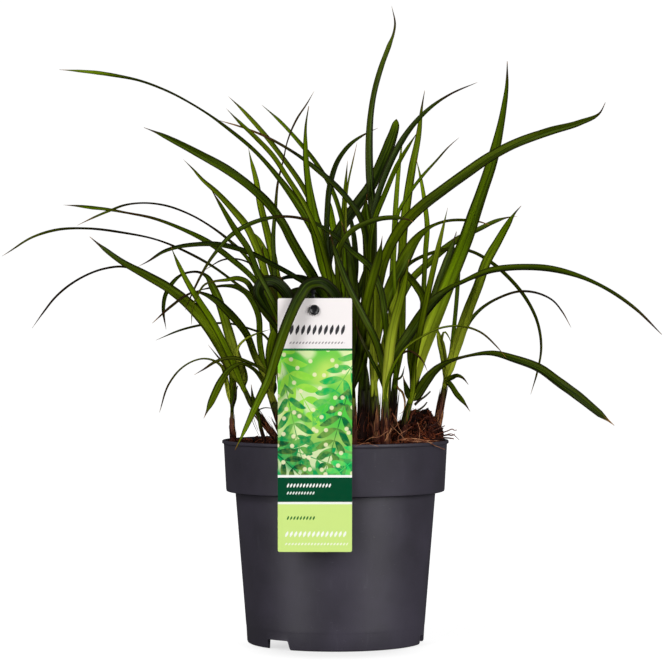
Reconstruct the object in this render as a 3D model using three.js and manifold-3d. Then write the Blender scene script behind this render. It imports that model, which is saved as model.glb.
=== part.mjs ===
// Carex sedge in a plastic nursery pot, in millimetres, +Z up.
// The origin is on the pot's axis, in the plane the pot stands on; -Y is the side with the hang card.
//
// A blade or a stem is drawn as it is seen in front elevation, from a viewpoint in front of the pot:
// each point gives x, z and the width that shows there. A depth y then slides the point along its
// line of sight, so the elevation keeps its drawing while the clump gets its depth.

import * as THREE from 'three';
import { mergeVertices } from 'three/addons/utils/BufferGeometryUtils.js';
import Module from 'manifold-3d';

const wasm = await Module();
wasm.setup();

// ---------------------------------------------------------------- driving dimensions

const POT_HEIGHT = 170;
const LIP_RADIUS = 95.4;
const COLLAR_RADIUS = 94;
const COLLAR_FOOT_RADIUS = 92;
const COLLAR_FOOT = 127;
const BODY_RADIUS = 84.3;
const BASE_RADIUS = 74.4;
const STEP_HEIGHT = 14.5;
const STEP_DEPTH = 0.5;
const WALL = 1.3;
const FLOOR = 8.4;
const PAD_RADIUS = 22;
const PAD_FLARE = 2.4;
const PAD_WALL = 1.5;
const FOOT_INNER = 3.4;
const FOOT_OUTER = 1.5;
const FOOT_CHAMFER = 1.6;
const LIP_BAND = 2.2;
const COLLAR_LEDGE = 4;
const DRAIN_RADIUS = 5;
const DRAIN_CIRCLE = 46;
const DRAIN_COUNT = 6;
const DRAIN_SIDES = 8;
const DRAIN_CUT = 12;
const NOTCH_WIDTH = 26;
const NOTCH_HEIGHT = 7.5;
const NOTCH_CUT = 14;
const NOTCH_ANGLES = [-38.5, 81.5, 201.5];
const POT_SIDES = 44;

const GAP = 0.3;
const SOIL_LEVEL = 167.6;
const SOIL_EDGE = { drop: 0.8, from: 78, to: 92, mound: 0.62 };
const SOIL_RINGS = [84, 74, 62, 48, 32, 16];
const SOIL_PLAY = 0.1;
const MOUND = { x: 69.5, y: 6, height: 31, spreadX: 16.5, spreadY: 27 };
const SOIL_BUMP = 0.9;

const CARD = { left: -46.6, right: 13.4, bottom: 83.5, top: 288.4, back: -95.8, thickness: 0.8, corner: 1.5 };
const STUD = { x: -17, z: 279, pin: 1.7, head: 4.2, headHeight: 1.9 };
const STAKE = { x: -18.2, width: 6.6, thickness: 1.5, foot: 134, top: 296, footDepth: -86.6, bendFrom: 178, bendTo: 232 };

const EYE_DISTANCE = 2300;
const EYE_HEIGHT = 270;

const STEM_SIDES = 6;
const NEST = 0.8;
const STEM_BURIED = 18;
const SHEATH_WALL = 1.1;
const SHEATH_BURIED = 8;
const SHEATH_TEETH = { rise: 3.2, notch: 5.5, thinning: 0.6 };
const BLADE_THICKNESS = 0.62;
const BLADE_FOLD = 0.24;
const FOLDED_FROM = 6.2;
const SAMPLE_STEP = 6;
const DEPTH_POWER = 1.6;
const FREE_FROM = 14;
const FREE_FULL = 60;
const CLEARANCE = 1.7;
const CONTACT_SLACK = 2.6;
const SETTLE_ROUNDS = 260;
const STATION_TOLERANCE = 1.4;

const COLOURS = {
  pot: [0x3a393d, 0.5],
  medium: [0x2a1811, 0.95],
  card: [0xe9e6e1, 0.35],
  stake: [0x141416, 0.3],
  blades: [0x4c610f, 0.45],
  sheath: [0x4a2a1c, 0.8],
};

// ---------------------------------------------------------------- shoots and blades

// name: depth of the foot, radius, top of the brown sheath, stem as x, z pairs from the foot up
const SHOOTS = {
  s01: { y: -14, r: 1.8, sheath: 192, stem: [-86.3, 172, -87, 186, -87, 197] },
  s02: { y: -54, r: 2.6, sheath: 198, stem: [-49, 170, -60, 184, -71, 200, -78, 215] },
  s03: { y: -62, r: 1.7, sheath: 178, stem: [-60, 170, -63, 180, -65, 190] },
  s04: { y: -24, r: 3.8, sheath: 190, stem: [-42, 170, -48, 188, -54.5, 208] },
  s05: { y: -58, r: 3.0, sheath: 198, stem: [-24, 170, -27, 192, -31, 214] },
  s06: { y: 8, r: 3.0, sheath: 200, stem: [-22, 170, -25, 192, -30, 216] },
  s07: { y: -32, r: 3.2, sheath: 202, stem: [0, 170, 1, 195, 2, 218] },
  s08: { y: 34, r: 3.2, sheath: 202, stem: [-2, 170, -2, 195, -3, 220] },
  s09: { y: -66, r: 3.2, sheath: 198, stem: [14, 170, 14, 192, 14, 212] },
  s10: { y: -2, r: 3.8, sheath: 204, stem: [21.5, 170, 22, 195, 22.5, 220] },
  s11: { y: -42, r: 4.0, sheath: 204, stem: [33, 170, 33, 192, 32.5, 214] },
  s12: { y: -68, r: 3.2, sheath: 197, stem: [42, 170, 42, 190, 42, 208] },
  s13: { y: -12, r: 3.0, sheath: 206, stem: [48, 178, 49, 198, 50.5, 220] },
  s14: { y: -46, r: 3.0, sheath: 193, stem: [57, 180, 60, 192, 63.5, 204] },
  s15: { y: -8, r: 2.6, sheath: 212, stem: [86, 182, 89, 200, 93, 220] },
  s16: { y: 46, r: 3.0, sheath: 200, stem: [-40, 170, -43, 192, -46, 214] },
  s17: { y: 66, r: 3.6, sheath: 206, stem: [28, 170, 27.5, 196, 26, 220] },
  s18: { y: 36, r: 3.0, sheath: 208, stem: [42, 176, 43, 198, 45, 222] },
};

// name, shoot, full width, depth of the tip or depths at even steps after the foot,
// [x, z, width that shows, ...] from the foot to the tip,
// and, where the depth isn't gained late, the power by which it grows
const BLADES = [
  ['a', 's02', 10.5, -84, [-85, 226, 8, -95, 246, 10, -106, 264, 10, -120, 281, 10, -140, 297.5, 7.5,
    -160, 309, 6.5, -180, 320, 5, -195, 331, 3.5, -207, 341, 1]],
  ['b', 's02', 6.5, -120, [-84, 230, 5.5, -90, 243, 5.5, -104, 270, 5.5, -115.8, 288, 5,
    -124.6, 302.5, 4.2, -133.3, 320, 3.3, -139, 333.5, 1]],
  ['c', 's02', 8.5, -20, [-79, 221, 7.5, -82.5, 234, 8, -90, 260, 8, -95.7, 280, 7.5, -99.3, 290, 7, -104, 300, 6,
    -108.5, 307.5, 3, -115.8, 311.3, 1.2, -124, 311, 1.2, -130, 308.8, 2.2, -137, 302.5, 3.7,
    -143.3, 291.7, 3.5, -145, 280, 3, -142.7, 263, 1.5]],
  ['d', 's04', 7.5, -120, [-60, 225, 5, -67.5, 240, 5.5, -75.5, 260, 6, -84, 271, 6.5,
    -91.7, 279, 6.5, -103.3, 289, 4.5, -112, 293.2, 2.5, -118, 294.6, 1.5, -125, 292, 2,
    -138.3, 282.5, 2.5, -154.2, 268.3, 1]],
  ['e1', 's05', 5.5, -100, [-40, 244, 4.5, -50, 264.5, 4.5, -61.7, 280, 4.5, -70, 296, 4.5,
    -75, 303.2, 4.5, -83, 306, 4, -91.7, 304.6, 3, -102, 303.4, 1.8, -110, 300.8, 1.5,
    -116, 292, 1.4, -120.4, 281, 1.4, -121.3, 267, 1]],
  ['e2', 's04', 5.5, 50, [-61, 235, 5, -63.5, 250, 5, -65.5, 277, 5, -70, 287, 5, -76, 294.5, 4.5,
    -83.3, 298.5, 4, -95, 299.6, 2.4, -105, 298, 1.8, -119, 295, 1]],
  ['f', 's04', 7.5, -58, [-53, 222, 6, -55.5, 240, 7, -53, 256, 6.5, -48, 268, 5, -40, 277, 1.5]],
  ['g', 's05', 10.5, -88, [-33, 245, 7, -36, 276, 9, -43, 296, 10, -53, 303.5, 10, -62, 302, 10,
    -65, 295, 9.5, -61, 286, 8, -55, 277, 5, -48.5, 268, 1.5]],
  ['h', 's12', 6, -92, [44, 240, 5, 42, 270, 5.5, 37, 300, 5.5, 29, 316, 5.5, 15, 328, 5,
    0, 341.5, 4, -22, 354.5, 2.5, -40, 358, 1.8, -65, 354.5, 3.7, -85, 344.5, 3.7, -102, 326.5, 2.8,
    -119, 297, 1.8, -126.7, 279, 1]],
  ['i', 's04', 4, 24, [-52, 246, 2, -61, 258.8, 1.7, -71.7, 263.3, 1.7, -90, 268, 1.7,
    -112.5, 266.7, 1.7, -130, 262.5, 1.7, -151.3, 253.8, 1]],
  ['j', 's02', 3, -74, [-82.5, 238, 2.5, -81.7, 248.5, 2.5, -76.7, 254, 2, -69, 258.3, 1.5,
    -55, 263, 1]],
  ['k', 's07', 5.5, -34, [4, 240, 5, -2, 265, 5, -10, 285, 4.5, -20, 298, 4, -36, 308.5, 4,
    -55, 319, 4, -70, 326.7, 4, -83.3, 331.3, 4, -98.3, 334.6, 4, -116.7, 334.6, 3.7,
    -132.5, 332.5, 3.5, -144.2, 328.8, 3.2, -158.3, 320, 2, -166.3, 315.8, 1]],
  ['l', 's06', 3.5, 50, [-42, 265, 2, -56, 301, 1.6, -68, 316, 1.4, -76.8, 320.8, 1.3,
    -86.7, 322.5, 1.3, -94.2, 321.7, 1.3, -106.7, 315, 1.2, -111.7, 311.7, 1]],
  ['m', 's06', 5, 30, [-45, 255, 4, -65, 287, 3, -83.3, 301.3, 2.5, -103, 315.8, 2.2,
    -125, 328, 1.8, -150, 338.3, 1.5, -180, 344.6, 1.6, -210, 348, 1.8, -235, 346.8, 2.4,
    -255, 340.7, 2.3, -275, 328.3, 1.6, -281, 324.5, 1]],
  ['m2', 's02', 4.5, 30, [-86, 229, 3, -96, 247, 3, -108, 265, 3, -121, 281, 2.5, -140, 297, 2,
    -158, 309, 1.7, -170, 314, 1.6, -180, 315.8, 1.5, -195, 314, 1.7, -215, 306, 1.7,
    -235, 291, 1.7, -247, 276, 1.5, -255.5, 264, 1]],
  ['n', 's06', 6, -50, [-40, 250, 5, -55, 285, 5, -70, 306.7, 4.5, -88, 322.5, 4.5,
    -106.7, 336.3, 4.5, -128, 347, 3.3, -155, 357, 2, -175, 361, 1.6, -193, 364.2, 2.8,
    -205, 365.5, 3.3, -218, 367, 2.5, -229, 367.7, 1]],
  ['o', 's16', 4.5, 110, [-48, 250, 4, -60, 290, 3.2, -75, 324, 3, -88, 336.7, 2.5, -103, 348.3, 1.8,
    -123, 360, 1.4, -145, 367.7, 1.3, -165, 369.3, 1.3, -178, 367.5, 1.8, -190, 363, 2.5,
    -204, 357, 2, -217.5, 350.5, 1]],
  ['p1', 's06', 7, 120, [-44, 270, 6, -53, 292, 6, -58.5, 306, 6, -62, 320, 6, -66.5, 332, 6, -75, 350, 6, -86.7, 364.2, 5,
    -101.7, 380, 4, -112, 389, 3, -120, 398, 2, -128, 406, 1]],
  ['p2', 's05', 5.5, -130, [-38, 250, 4, -54, 290, 4, -65.5, 312, 4.5, -73.5, 330.8, 5, -83.2, 345, 5.5,
    -97, 368, 3.2, -106, 383, 1]],
  ['q', 's07', 7.5, 36, [2, 250, 6, -4, 300, 7, -16, 341, 7, -30, 365.8, 6.5, -48, 390.8, 4,
    -68, 413.3, 3.3, -90, 431.7, 2.5, -116.7, 450.4, 1.6, -145, 465.2, 1.4, -165, 472.5, 2,
    -185, 476.7, 3, -200, 479, 3.5, -217, 480.6, 2.5, -232.5, 481.7, 1]],
  ['r', 's07', 9, -140, [0, 260, 6, -8, 288, 7, -16, 302, 8, -21.5, 312, 8.5,
    -26.7, 320, 8.5, -32.5, 330, 8, -38, 340, 7.8, -43, 350, 7, -49.5, 360, 7, -57.5, 370, 7, -68, 380, 7,
    -90, 396.7, 7.5, -115, 410.8, 6.5, -135, 421.3, 5,
    -150, 428.5, 3, -161.3, 433, 1]],
  ['kb', 's06', 8, 14, [-33, 250, 6, -36, 270, 8, -39, 288, 8, -43, 300, 6, -47, 309, 1.6]],
  ['t', 's06', 7, 150, [-38, 260, 6, -48, 300, 6.5, -53.3, 326.7, 6.5, -58.3, 348, 6,
    -63.3, 368.3, 5.5, -66.7, 388.3, 4.5, -71.7, 408.3, 2.5, -73.3, 416.3, 1]],
  ['u', 's16', 4.5, 60, [-50, 260, 4, -51.7, 322, 3.5, -52.3, 340, 3.5, -50.5, 365, 3,
    -48.3, 387.5, 1.5, -44, 405, 0.9, -40.5, 421, 1, -32, 441, 1.7, -24, 453, 1.6, -18, 463.4, 1]],
  ['x1', 's08', 6, 140, [-2, 290, 4, -10, 340, 4, -26.7, 381.7, 4, -45, 408.3, 4, -60, 427.5, 4,
    -71.7, 440.8, 3.5, -82, 451.5, 2.5, -90, 459, 1]],
  ['x2', 's07', 6, -150, [-2, 290, 4, -14, 340, 4, -25.8, 367.5, 4, -40, 390, 4, -53.3, 410, 4,
    -65, 422.5, 4, -81.7, 438.3, 3, -92, 449, 1]],
  ['z', 's08', 5.5, 100, [6, 290, 4, 8, 335, 3.5, 4, 361, 3.5, -3, 381, 3.5, -15.8, 402.5, 3.5,
    -30, 420, 3.5, -46.7, 438.3, 3, -62, 452, 1]],
  ['aa', 's10', 6, -150, [24, 270, 5, 27, 330, 5, 21, 357, 5, 6, 378, 4.5, -16, 398, 4,
    -36.7, 413, 2.5, -57, 424.5, 2, -75, 432, 1.4, -98, 439, 1]],
  ['y', 's07', 11, -124, [6, 262, 8, 1, 293, 10, -8.3, 314, 11, -14.3, 339, 11, -18.7, 358, 9.5,
    -23.3, 388, 5.5, -25.4, 418, 3.5, -25, 435, 1.8, -22.5, 451, 1]],
  ['bb', 's08', 6, 60, [-4, 260, 4.5, -5, 300, 4.5, -7, 360, 4.5, -3.8, 388, 4.5, 2.5, 405.8, 4,
    12.4, 418.7, 3.5, 26, 428, 2, 36, 432.6, 1]],
  ['cc1', 's10', 6, 120, [14, 265, 5, 10, 300, 5, 7, 336, 5, 7.5, 367, 4.5, 9.6, 397.5, 2,
    10.3, 405, 1]],
  ['cc2', 's10', 3.5, -60, [17, 270, 3, 10, 330, 2, 8.6, 360, 1.8, 10.8, 386.7, 1.5, 14.2, 402.5, 1.2,
    18.3, 420.4, 1]],
  ['dd', 's08', 9.5, 160, [-8, 270, 8, -8, 305, 8, -4, 332, 8.5, 7, 352, 9, 19, 369, 9.5,
    30, 384, 9.5, 38.5, 402, 9.5, 46, 420, 9.5, 50.5, 434, 7, 51.5, 440, 4]],
  ['ee', 's10', 7, 60, [26, 260, 6, 31, 310, 6.5, 31, 367, 6.7, 28.9, 392.6, 6.7, 28.4, 418, 6,
    29.7, 443, 5, 32.7, 462.5, 4.5, 38.5, 483.6, 4.3, 45.3, 502, 4, 49, 512, 2, 50.2, 519, 2,
    47.4, 535.4, 1]],
  ['ff', 's09', 5, -96, [12, 250, 4, 4, 290, 4, 2, 320, 4, 5, 335, 4, 13.3, 345.8, 4.6,
    26.7, 353, 4.6, 40, 356.6, 4.2, 52, 357, 3.8, 60, 355.8, 3, 66.4, 353.4, 1.2]],
  ['gg', 's12', 7, -92, [40.2, 228, 5, 36, 247.7, 6, 22.5, 276, 6, 9.9, 301.6, 6, -0.2, 329, 4,
    -5, 345, 1.5]],
  ['gg2', 's12', 4, -80, [38, 222, 3, 30, 238, 3, 21.7, 255, 2.5, 15, 272, 1]],
  ['ll', 's09', 10, [-74, -81, -88.5, -99, -104.5, -108, -110.5, -112.5, -114.5, -116], [11, 230, 7, 5, 275, 9, -3, 296, 9.5, -12, 302.5, 9.5, -22, 301, 10,
    -30, 291, 9.5, -37, 277, 9, -49, 245, 8.5, -57, 220, 7.5, -66.5, 200, 6, -75.5, 180, 4,
    -84.7, 161, 1.2]],
  ['s1a', 's01', 5, -24, [-90, 208, 3.5, -92, 220, 4, -96, 232, 2.4, -103.3, 237, 1.7, -111, 238.3, 1.4, -120, 236.2, 1.3,
    -130, 230, 1.3, -140, 217.5, 1.2, -148.3, 193, 1]],
  ['s1c', 's01', 6, -18, [-86, 205, 6, -86.3, 216, 6, -88.5, 226, 4.5, -92, 234, 1]],
  ['s1d', 's01', 4, -30, [-86.5, 206, 3, -85.5, 215, 2.6, -82.5, 221, 2, -78.5, 218, 1]],
  ['s1b', 's01', 2.5, 8, [-91, 220, 1.6, -95, 235, 1.6, -100, 241, 1.3, -107.3, 250, 1]],
  ['v2', 's04', 4.5, -118, [-54, 220, 2.8, -60, 228, 2.8, -71.7, 234.6, 2.8, -85.8, 239, 2.8,
    -101.7, 235.4, 2.5, -110, 230, 2, -119.2, 224.6, 1], 1],
  ['v3', 's04', 7, -132, [-57, 212, 5, -62.5, 222, 4, -70.5, 230.5, 3, -80, 234, 2.5, -88, 230.5, 3.5,
    -96, 220, 6, -101, 210, 6.5, -106, 199, 5.5, -111, 188, 1.5], 1],
  ['s3', 's03', 5, -74, [-66.4, 195, 4.5, -69, 202, 4, -71, 216.5, 1]],
  ['w', 's04', 8, 6, [-52.6, 214, 6.5, -55, 222, 5.5, -60, 240, 1.5]],
  ['ra', 's10', 6, 50, [29, 290, 5, 33, 366, 5, 43.6, 397, 5, 54.6, 419.6, 5, 67, 437, 4,
    81.5, 451, 3, 96.7, 461, 1.5, 119.5, 471, 1]],
  ['rb', 's11', 5.5, -130, [30, 280, 5, 33.5, 357, 4.5, 42, 378, 4, 52, 401, 4, 63, 419.6, 3,
    69.7, 430, 1.2]],
  ['rc', 's13', 8, 96, [54.6, 245, 6, 56, 300, 7, 57, 342, 7, 60.5, 371.5, 7, 64.7, 399, 6.5,
    70, 426, 4.5, 73, 451, 2, 75.2, 464, 1]],
  ['rd', 's18', 5, 90, [46, 260, 4, 49.5, 346, 4, 51.2, 371.5, 4, 53.3, 397, 3.5, 57, 425.5, 1]],
  ['re', 's14', 5.5, 60, [70, 240, 4, 74, 291.5, 4, 76, 329, 4, 77.3, 350.5, 4, 75.6, 367, 4,
    72.3, 388, 3, 68, 407, 1]],
  ['rf', 's13', 4, -70, [51, 270, 3.5, 50, 330, 3, 53.7, 363, 3, 61.3, 376, 3, 72.3, 391, 2.8,
    84, 404, 2.2, 96.7, 418, 1.4, 104.3, 424.6, 1]],
  ['rg', 's11', 10, -140, [34, 260, 7, 36, 300, 8, 44, 329, 8.5, 57, 351, 9, 69, 363.5, 9,
    90, 380, 9, 110, 394.5, 8.7, 130.4, 408.5, 8, 147, 417.5, 7.8, 181, 430, 7, 206, 437.2, 5,
    223, 445.7, 2.5, 227.3, 454, 1]],
  ['rh', 's14', 13, -66, [66, 214, 7, 67.3, 222, 7.5, 69.2, 230, 9, 72, 240, 10, 78.9, 260, 12, 86.5, 280, 12.5,
    94.3, 300, 12.3, 102.5, 320, 12, 110.2, 340, 11.5, 116.9, 360, 11, 123.8, 380, 10, 130.5, 400, 9,
    136.8, 424, 7, 141.4, 447, 5, 144.3, 468, 2.8, 144.7, 488.7, 1]],
  ['ri', 's15', 10, -80, [96, 230, 8, 103.4, 253.6, 9, 112, 279, 9, 120.3, 300, 8, 127.3, 320, 7.5,
    136.3, 336, 7, 144.3, 350, 5.5, 152, 362, 2.4, 156.5, 367, 1]],
  ['rj', 's12', 9, -76, [45, 228, 8, 52, 244, 8.5, 61.3, 258, 9, 75.6, 279, 9, 84, 288, 8,
    96, 297.5, 4, 109, 304, 3, 120, 309, 4, 130, 312.6, 5, 143, 314.7, 5.5, 160, 315.5, 5.3,
    176.7, 314.7, 5, 202, 309, 3.8, 227, 298, 3, 252.6, 280.5, 2.6, 275, 258.6, 1]],
  ['rk', 's13', 4.5, 60, [50, 285, 3, 61, 317, 3, 80, 327, 2.7, 96.7, 330.7, 2.5, 113.5, 329, 2.7,
    130.4, 320, 3, 147, 305.6, 3, 160.5, 289, 3, 170.3, 268.7, 2.5, 173.4, 247, 2.2, 170, 226.6, 2,
    164.5, 208, 1]],
  ['rl', 's15', 4, 40, [98.4, 235, 3.5, 103.4, 245, 3.5, 107.6, 258, 3.5, 112, 268, 3.5,
    122, 279.7, 2.8, 138.8, 290, 2.2, 155.7, 295, 1.8, 172.5, 292.8, 1.5, 183.5, 287, 1.3,
    191, 278, 1.2, 198.6, 264.5, 1]],
  ['rm', 's12', 3, -112, [47, 228, 3, 52.9, 239, 2.4, 59.6, 247.7, 2, 71.4, 256, 1.8, 88, 264, 1.7,
    105, 265.8, 1.6, 122, 260.7, 1.6, 135.4, 249, 1.5, 144, 239, 1]],
  ['rn', 's14', 9, -112, [67.5, 206.5, 8.5, 72.5, 214, 9, 78, 222, 8.5, 84, 228.5, 6.5, 90, 233, 4, 97, 236.3, 2.8,
    111, 240.5, 2.5,
    132, 243, 4, 151.5, 238, 6, 172.5, 230, 7.5, 187.7, 219, 8, 204.5, 206.7, 8, 223, 191.6, 6,
    232, 184.5, 3, 235, 182, 1.2]],
  ['ro', 's12', 3, -90, [48, 232, 2.5, 52.9, 240, 2, 61.3, 244.7, 2, 72.3, 238, 1.8, 78, 226.6, 1]],
  ['rp', 's15', 7, 16, [92, 233, 5, 90, 246, 6, 87, 258, 6, 85.7, 266, 1.5]],
  ['rq', 's15', 3, -20, [92.5, 240, 1.5, 90, 257, 2, 91.6, 261, 2.4, 95.8, 256, 2, 97.5, 251, 1]],
  ['rr', 's15', 4, 70, [97, 240, 3.5, 100.5, 270, 3.5, 103, 300, 3.5, 104, 325, 2.5, 102, 345, 1]],
  ['rs', 's18', 7, 110, [50, 260, 6, 57, 293, 6, 65.5, 306.6, 6, 78, 318.5, 6, 90.8, 330, 5.5,
    106, 340.5, 5, 122, 348, 4, 134.6, 354, 3.5, 147, 357.5, 2, 153, 358, 1]],
  ['rx', 's14', 8, -10, [67, 226, 6, 73, 252, 7, 80, 278, 8, 87, 300, 8, 94, 320, 7, 99, 335, 4, 102, 346, 1.2]],
  ['rt', 's11', 11, 6, [31.8, 228, 6, 33.5, 253.6, 8.5, 39.4, 279, 9.5, 47.8, 301, 10.5,
    54, 313.5, 11, 59.5, 324.5, 10.5, 65, 334.5, 8.5, 71, 342, 6, 80, 349.2, 3, 92.5, 354, 2.3, 109, 355, 2.2,
    123.7, 353, 1.8, 129.5, 351, 1]],
  ['ru', 's14', 6, -120, [67, 237, 4, 71.4, 262, 5, 76.5, 287, 5, 80.7, 306, 4.8, 85.7, 327.7, 4.5,
    90, 346, 3, 94.6, 365.6, 1]],
  ['rv', 's14', 7, 4, [65, 225, 5, 63.5, 240, 6, 65, 255, 7, 71, 268, 7, 75, 279, 6.5, 73.5, 290, 6, 67, 301, 6,
    58.8, 311, 5, 51, 319, 3, 44.4, 324, 1.2]],
  ['ja', 's12', 9, -100, [42.5, 220, 6, 44.7, 237, 8.5, 46, 249, 8.5, 50, 270, 7.5, 54, 284, 7,
    57, 296, 6, 60, 310, 3, 62, 322, 1.2]],
  ['jb', 's11', 5, -96, [38, 232, 4, 41, 253, 4, 44.5, 266, 4, 47, 279, 4, 51, 291, 3.5,
    54, 306, 1.2]],
  ['s5a', 's15', 5, -36, [98.4, 222.5, 4, 102.6, 224, 4, 106.8, 222.4, 3, 112, 216.5, 1]],
  ['s5b', 's15', 5.5, -24, [98, 215, 4, 101.8, 209, 4.5, 106.8, 203, 4.5, 110, 199, 3,
    113.5, 193.7, 1]],
  ['sp', 's13', 3, -28, [54.6, 222, 2.4, 58.4, 232, 1]],
  ['sq', 's14', 6, -62, [61, 209, 6, 59.5, 214, 6, 58, 219, 3, 57, 224, 1.2]],
  ['sr', 's13', 2.2, -26, [53, 213, 2, 55.6, 211, 2, 57.8, 206, 1.8, 58.5, 199, 1.6, 57, 193.5, 1.4, 53.5, 191.5, 1]],
  ['cc', 's09', 9.5, -70, [15, 230, 7, 16, 255, 9, 16, 290, 9, 13, 318, 7, 9, 340, 4, 5, 354, 1.4]],
  ['ce', 's09', 7, -78, [18, 222, 5, 24, 240, 6, 28, 262, 6, 30, 284, 4, 31, 300, 1.4]],
  ['ca', 's09', 8, -88, [20, 240, 7, 25, 280, 8, 31, 305, 8, 36, 322, 7, 38.5, 334, 3, 39.5, 342, 1.4]],
  ['cd', 's10', 9, -34, [23, 236, 8, 26, 262, 9, 29, 290, 8, 27, 316, 5, 24, 336, 1.4]],
  ['cb', 's10', 10, -60, [22, 250, 6, 25, 285, 7.5, 28, 315, 9, 28, 335, 10, 27, 350, 10, 25.5, 362, 8,
    26, 371, 3.5, 26.5, 377, 1.4]],
  // the far side of the clump, mostly hidden in front elevation
  ['fa', 's17', 8, 190, [8, 260, 7, 4, 310, 7, -2, 350, 6, -6, 372, 4, -8, 380, 1.2]],
  ['fb', 's17', 7, 210, [14, 260, 6, 22, 300, 6, 34, 322, 5, 44, 326, 4, 52, 318, 1.2]],
  ['fc', 's17', 6, 175, [4, 250, 5, -10, 290, 5, -26, 306, 4, -44, 306, 3, -60, 290, 1]],
  ['fd', 's17', 6, 150, [14, 270, 5, 17, 320, 5, 15, 345, 4, 11, 362, 2.6, 5, 374, 1]],
  ['fe', 's16', 7, 170, [-46, 260, 5, -50, 300, 5, -58, 326, 5, -66, 340, 4, -76, 350, 1]],
  ['ff2', 's16', 6, 140, [-50, 240, 4, -54, 270, 4, -57, 298, 3.6, -60, 320, 2.6, -62, 336, 1]],
  ['fg', 's18', 7, 180, [48, 260, 6, 52, 300, 6, 55, 325, 5, 56, 342, 3.6, 57, 352, 1]],
  ['fh', 's18', 6, 140, [48, 250, 5, 51, 275, 5, 55, 300, 4, 58, 318, 2.4, 59, 330, 1]],
  ['fi', 's08', 9, 180, [-4, 270, 8, -7, 300, 8.5, -8, 325, 7.5, -8, 340, 5, -7, 352, 1.4]],
];

// pairs where the first blade passes on the -Y side of the second
const IN_FRONT = [
  ['ll', 'g'], ['g', 't'], ['g', 'u'], ['d', 'c'], ['b', 'a'], ['h', 't'], ['h', 'u'], ['r', 't'],
  ['r', 'u'], ['rg', 'rh'], ['rg', 'rc'], ['rg', 're'], ['rg', 'rd'], ['rj', 'ri'], ['rj', 'rh'],
  ['rm', 'rh'], ['rm', 'ri'], ['rn', 'ri'], ['rh', 'rk'], ['ri', 'rk'], ['rj', 'rk'], ['ru', 'rs'],
  ['ru', 'rk'], ['ff', 'rd'], ['ff', 'rc'], ['rf', 'rc'], ['rf', 're'], ['rh', 'rt'], ['rh', 'rs'],
  ['rn', 'rk'], ['ff', 'rg'], ['y', 'q'], ['y', 'x1'], ['r', 'q'],
];

// ---------------------------------------------------------------- solids

function manifoldOf(geometry) {
  const bare = geometry.clone();
  bare.deleteAttribute('normal');
  bare.deleteAttribute('uv');
  const merged = mergeVertices(bare, 1e-4);
  return new wasm.Manifold(new wasm.Mesh({
    numProp: 3,
    vertProperties: new Float32Array(merged.attributes.position.array),
    triVerts: new Uint32Array(merged.index.array),
  }));
}

function geometryOf(manifold) {
  const mesh = manifold.getMesh();
  const geometry = new THREE.BufferGeometry();
  geometry.setAttribute('position', new THREE.BufferAttribute(new Float32Array(mesh.vertProperties), 3));
  geometry.setIndex(new THREE.BufferAttribute(new Uint32Array(mesh.triVerts), 1));
  geometry.computeVertexNormals();
  return geometry;
}

function indexedGeometry(points, triangles) {
  const geometry = new THREE.BufferGeometry();
  geometry.setAttribute('position', new THREE.Float32BufferAttribute(points.flatMap((p) => p.toArray()), 3));
  geometry.setIndex(triangles);
  return geometry;
}

// A closed profile of [radius, z] pairs turned about the Z axis.
function turned(profile, sides) {
  const points = profile.map(([radius, z]) => new THREE.Vector2(radius, z));
  const geometry = new THREE.LatheGeometry(points, sides);
  geometry.rotateX(Math.PI / 2);
  return geometry;
}

function outward(geometry) {
  const manifold = manifoldOf(geometry);
  if (manifold.volume() > 0) return manifold;
  const index = geometry.index.array;
  for (let i = 0; i < index.length; i += 3) [index[i], index[i + 1]] = [index[i + 1], index[i]];
  return manifoldOf(geometry);
}

function block(width, depth, height, x, y, z) {
  const geometry = new THREE.BoxGeometry(width, depth, height);
  geometry.translate(x, y, z);
  return geometry;
}

// The largest closed body of a union, so a hollow that fusing sealed is filled.
function wholeBody(manifold) {
  return manifold.decompose().reduce((best, piece) => (piece.volume() > best.volume() ? piece : best));
}

// ---------------------------------------------------------------- pot

const FLOOR_TOP = FLOOR + WALL;
const STEP_RADIUS = BASE_RADIUS + 0.7;

// The pot's inner wall and collar, as [radius, z] from the floor up, set in by a margin.
function innerWall(margin) {
  return [
    [BASE_RADIUS - WALL - margin, FLOOR_TOP + margin],
    [BODY_RADIUS - WALL - margin, COLLAR_FOOT + 0.6],
    [COLLAR_FOOT_RADIUS - WALL - margin, COLLAR_FOOT + COLLAR_LEDGE],
    [COLLAR_RADIUS - WALL - margin, POT_HEIGHT - COLLAR_LEDGE],
  ];
}

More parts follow.
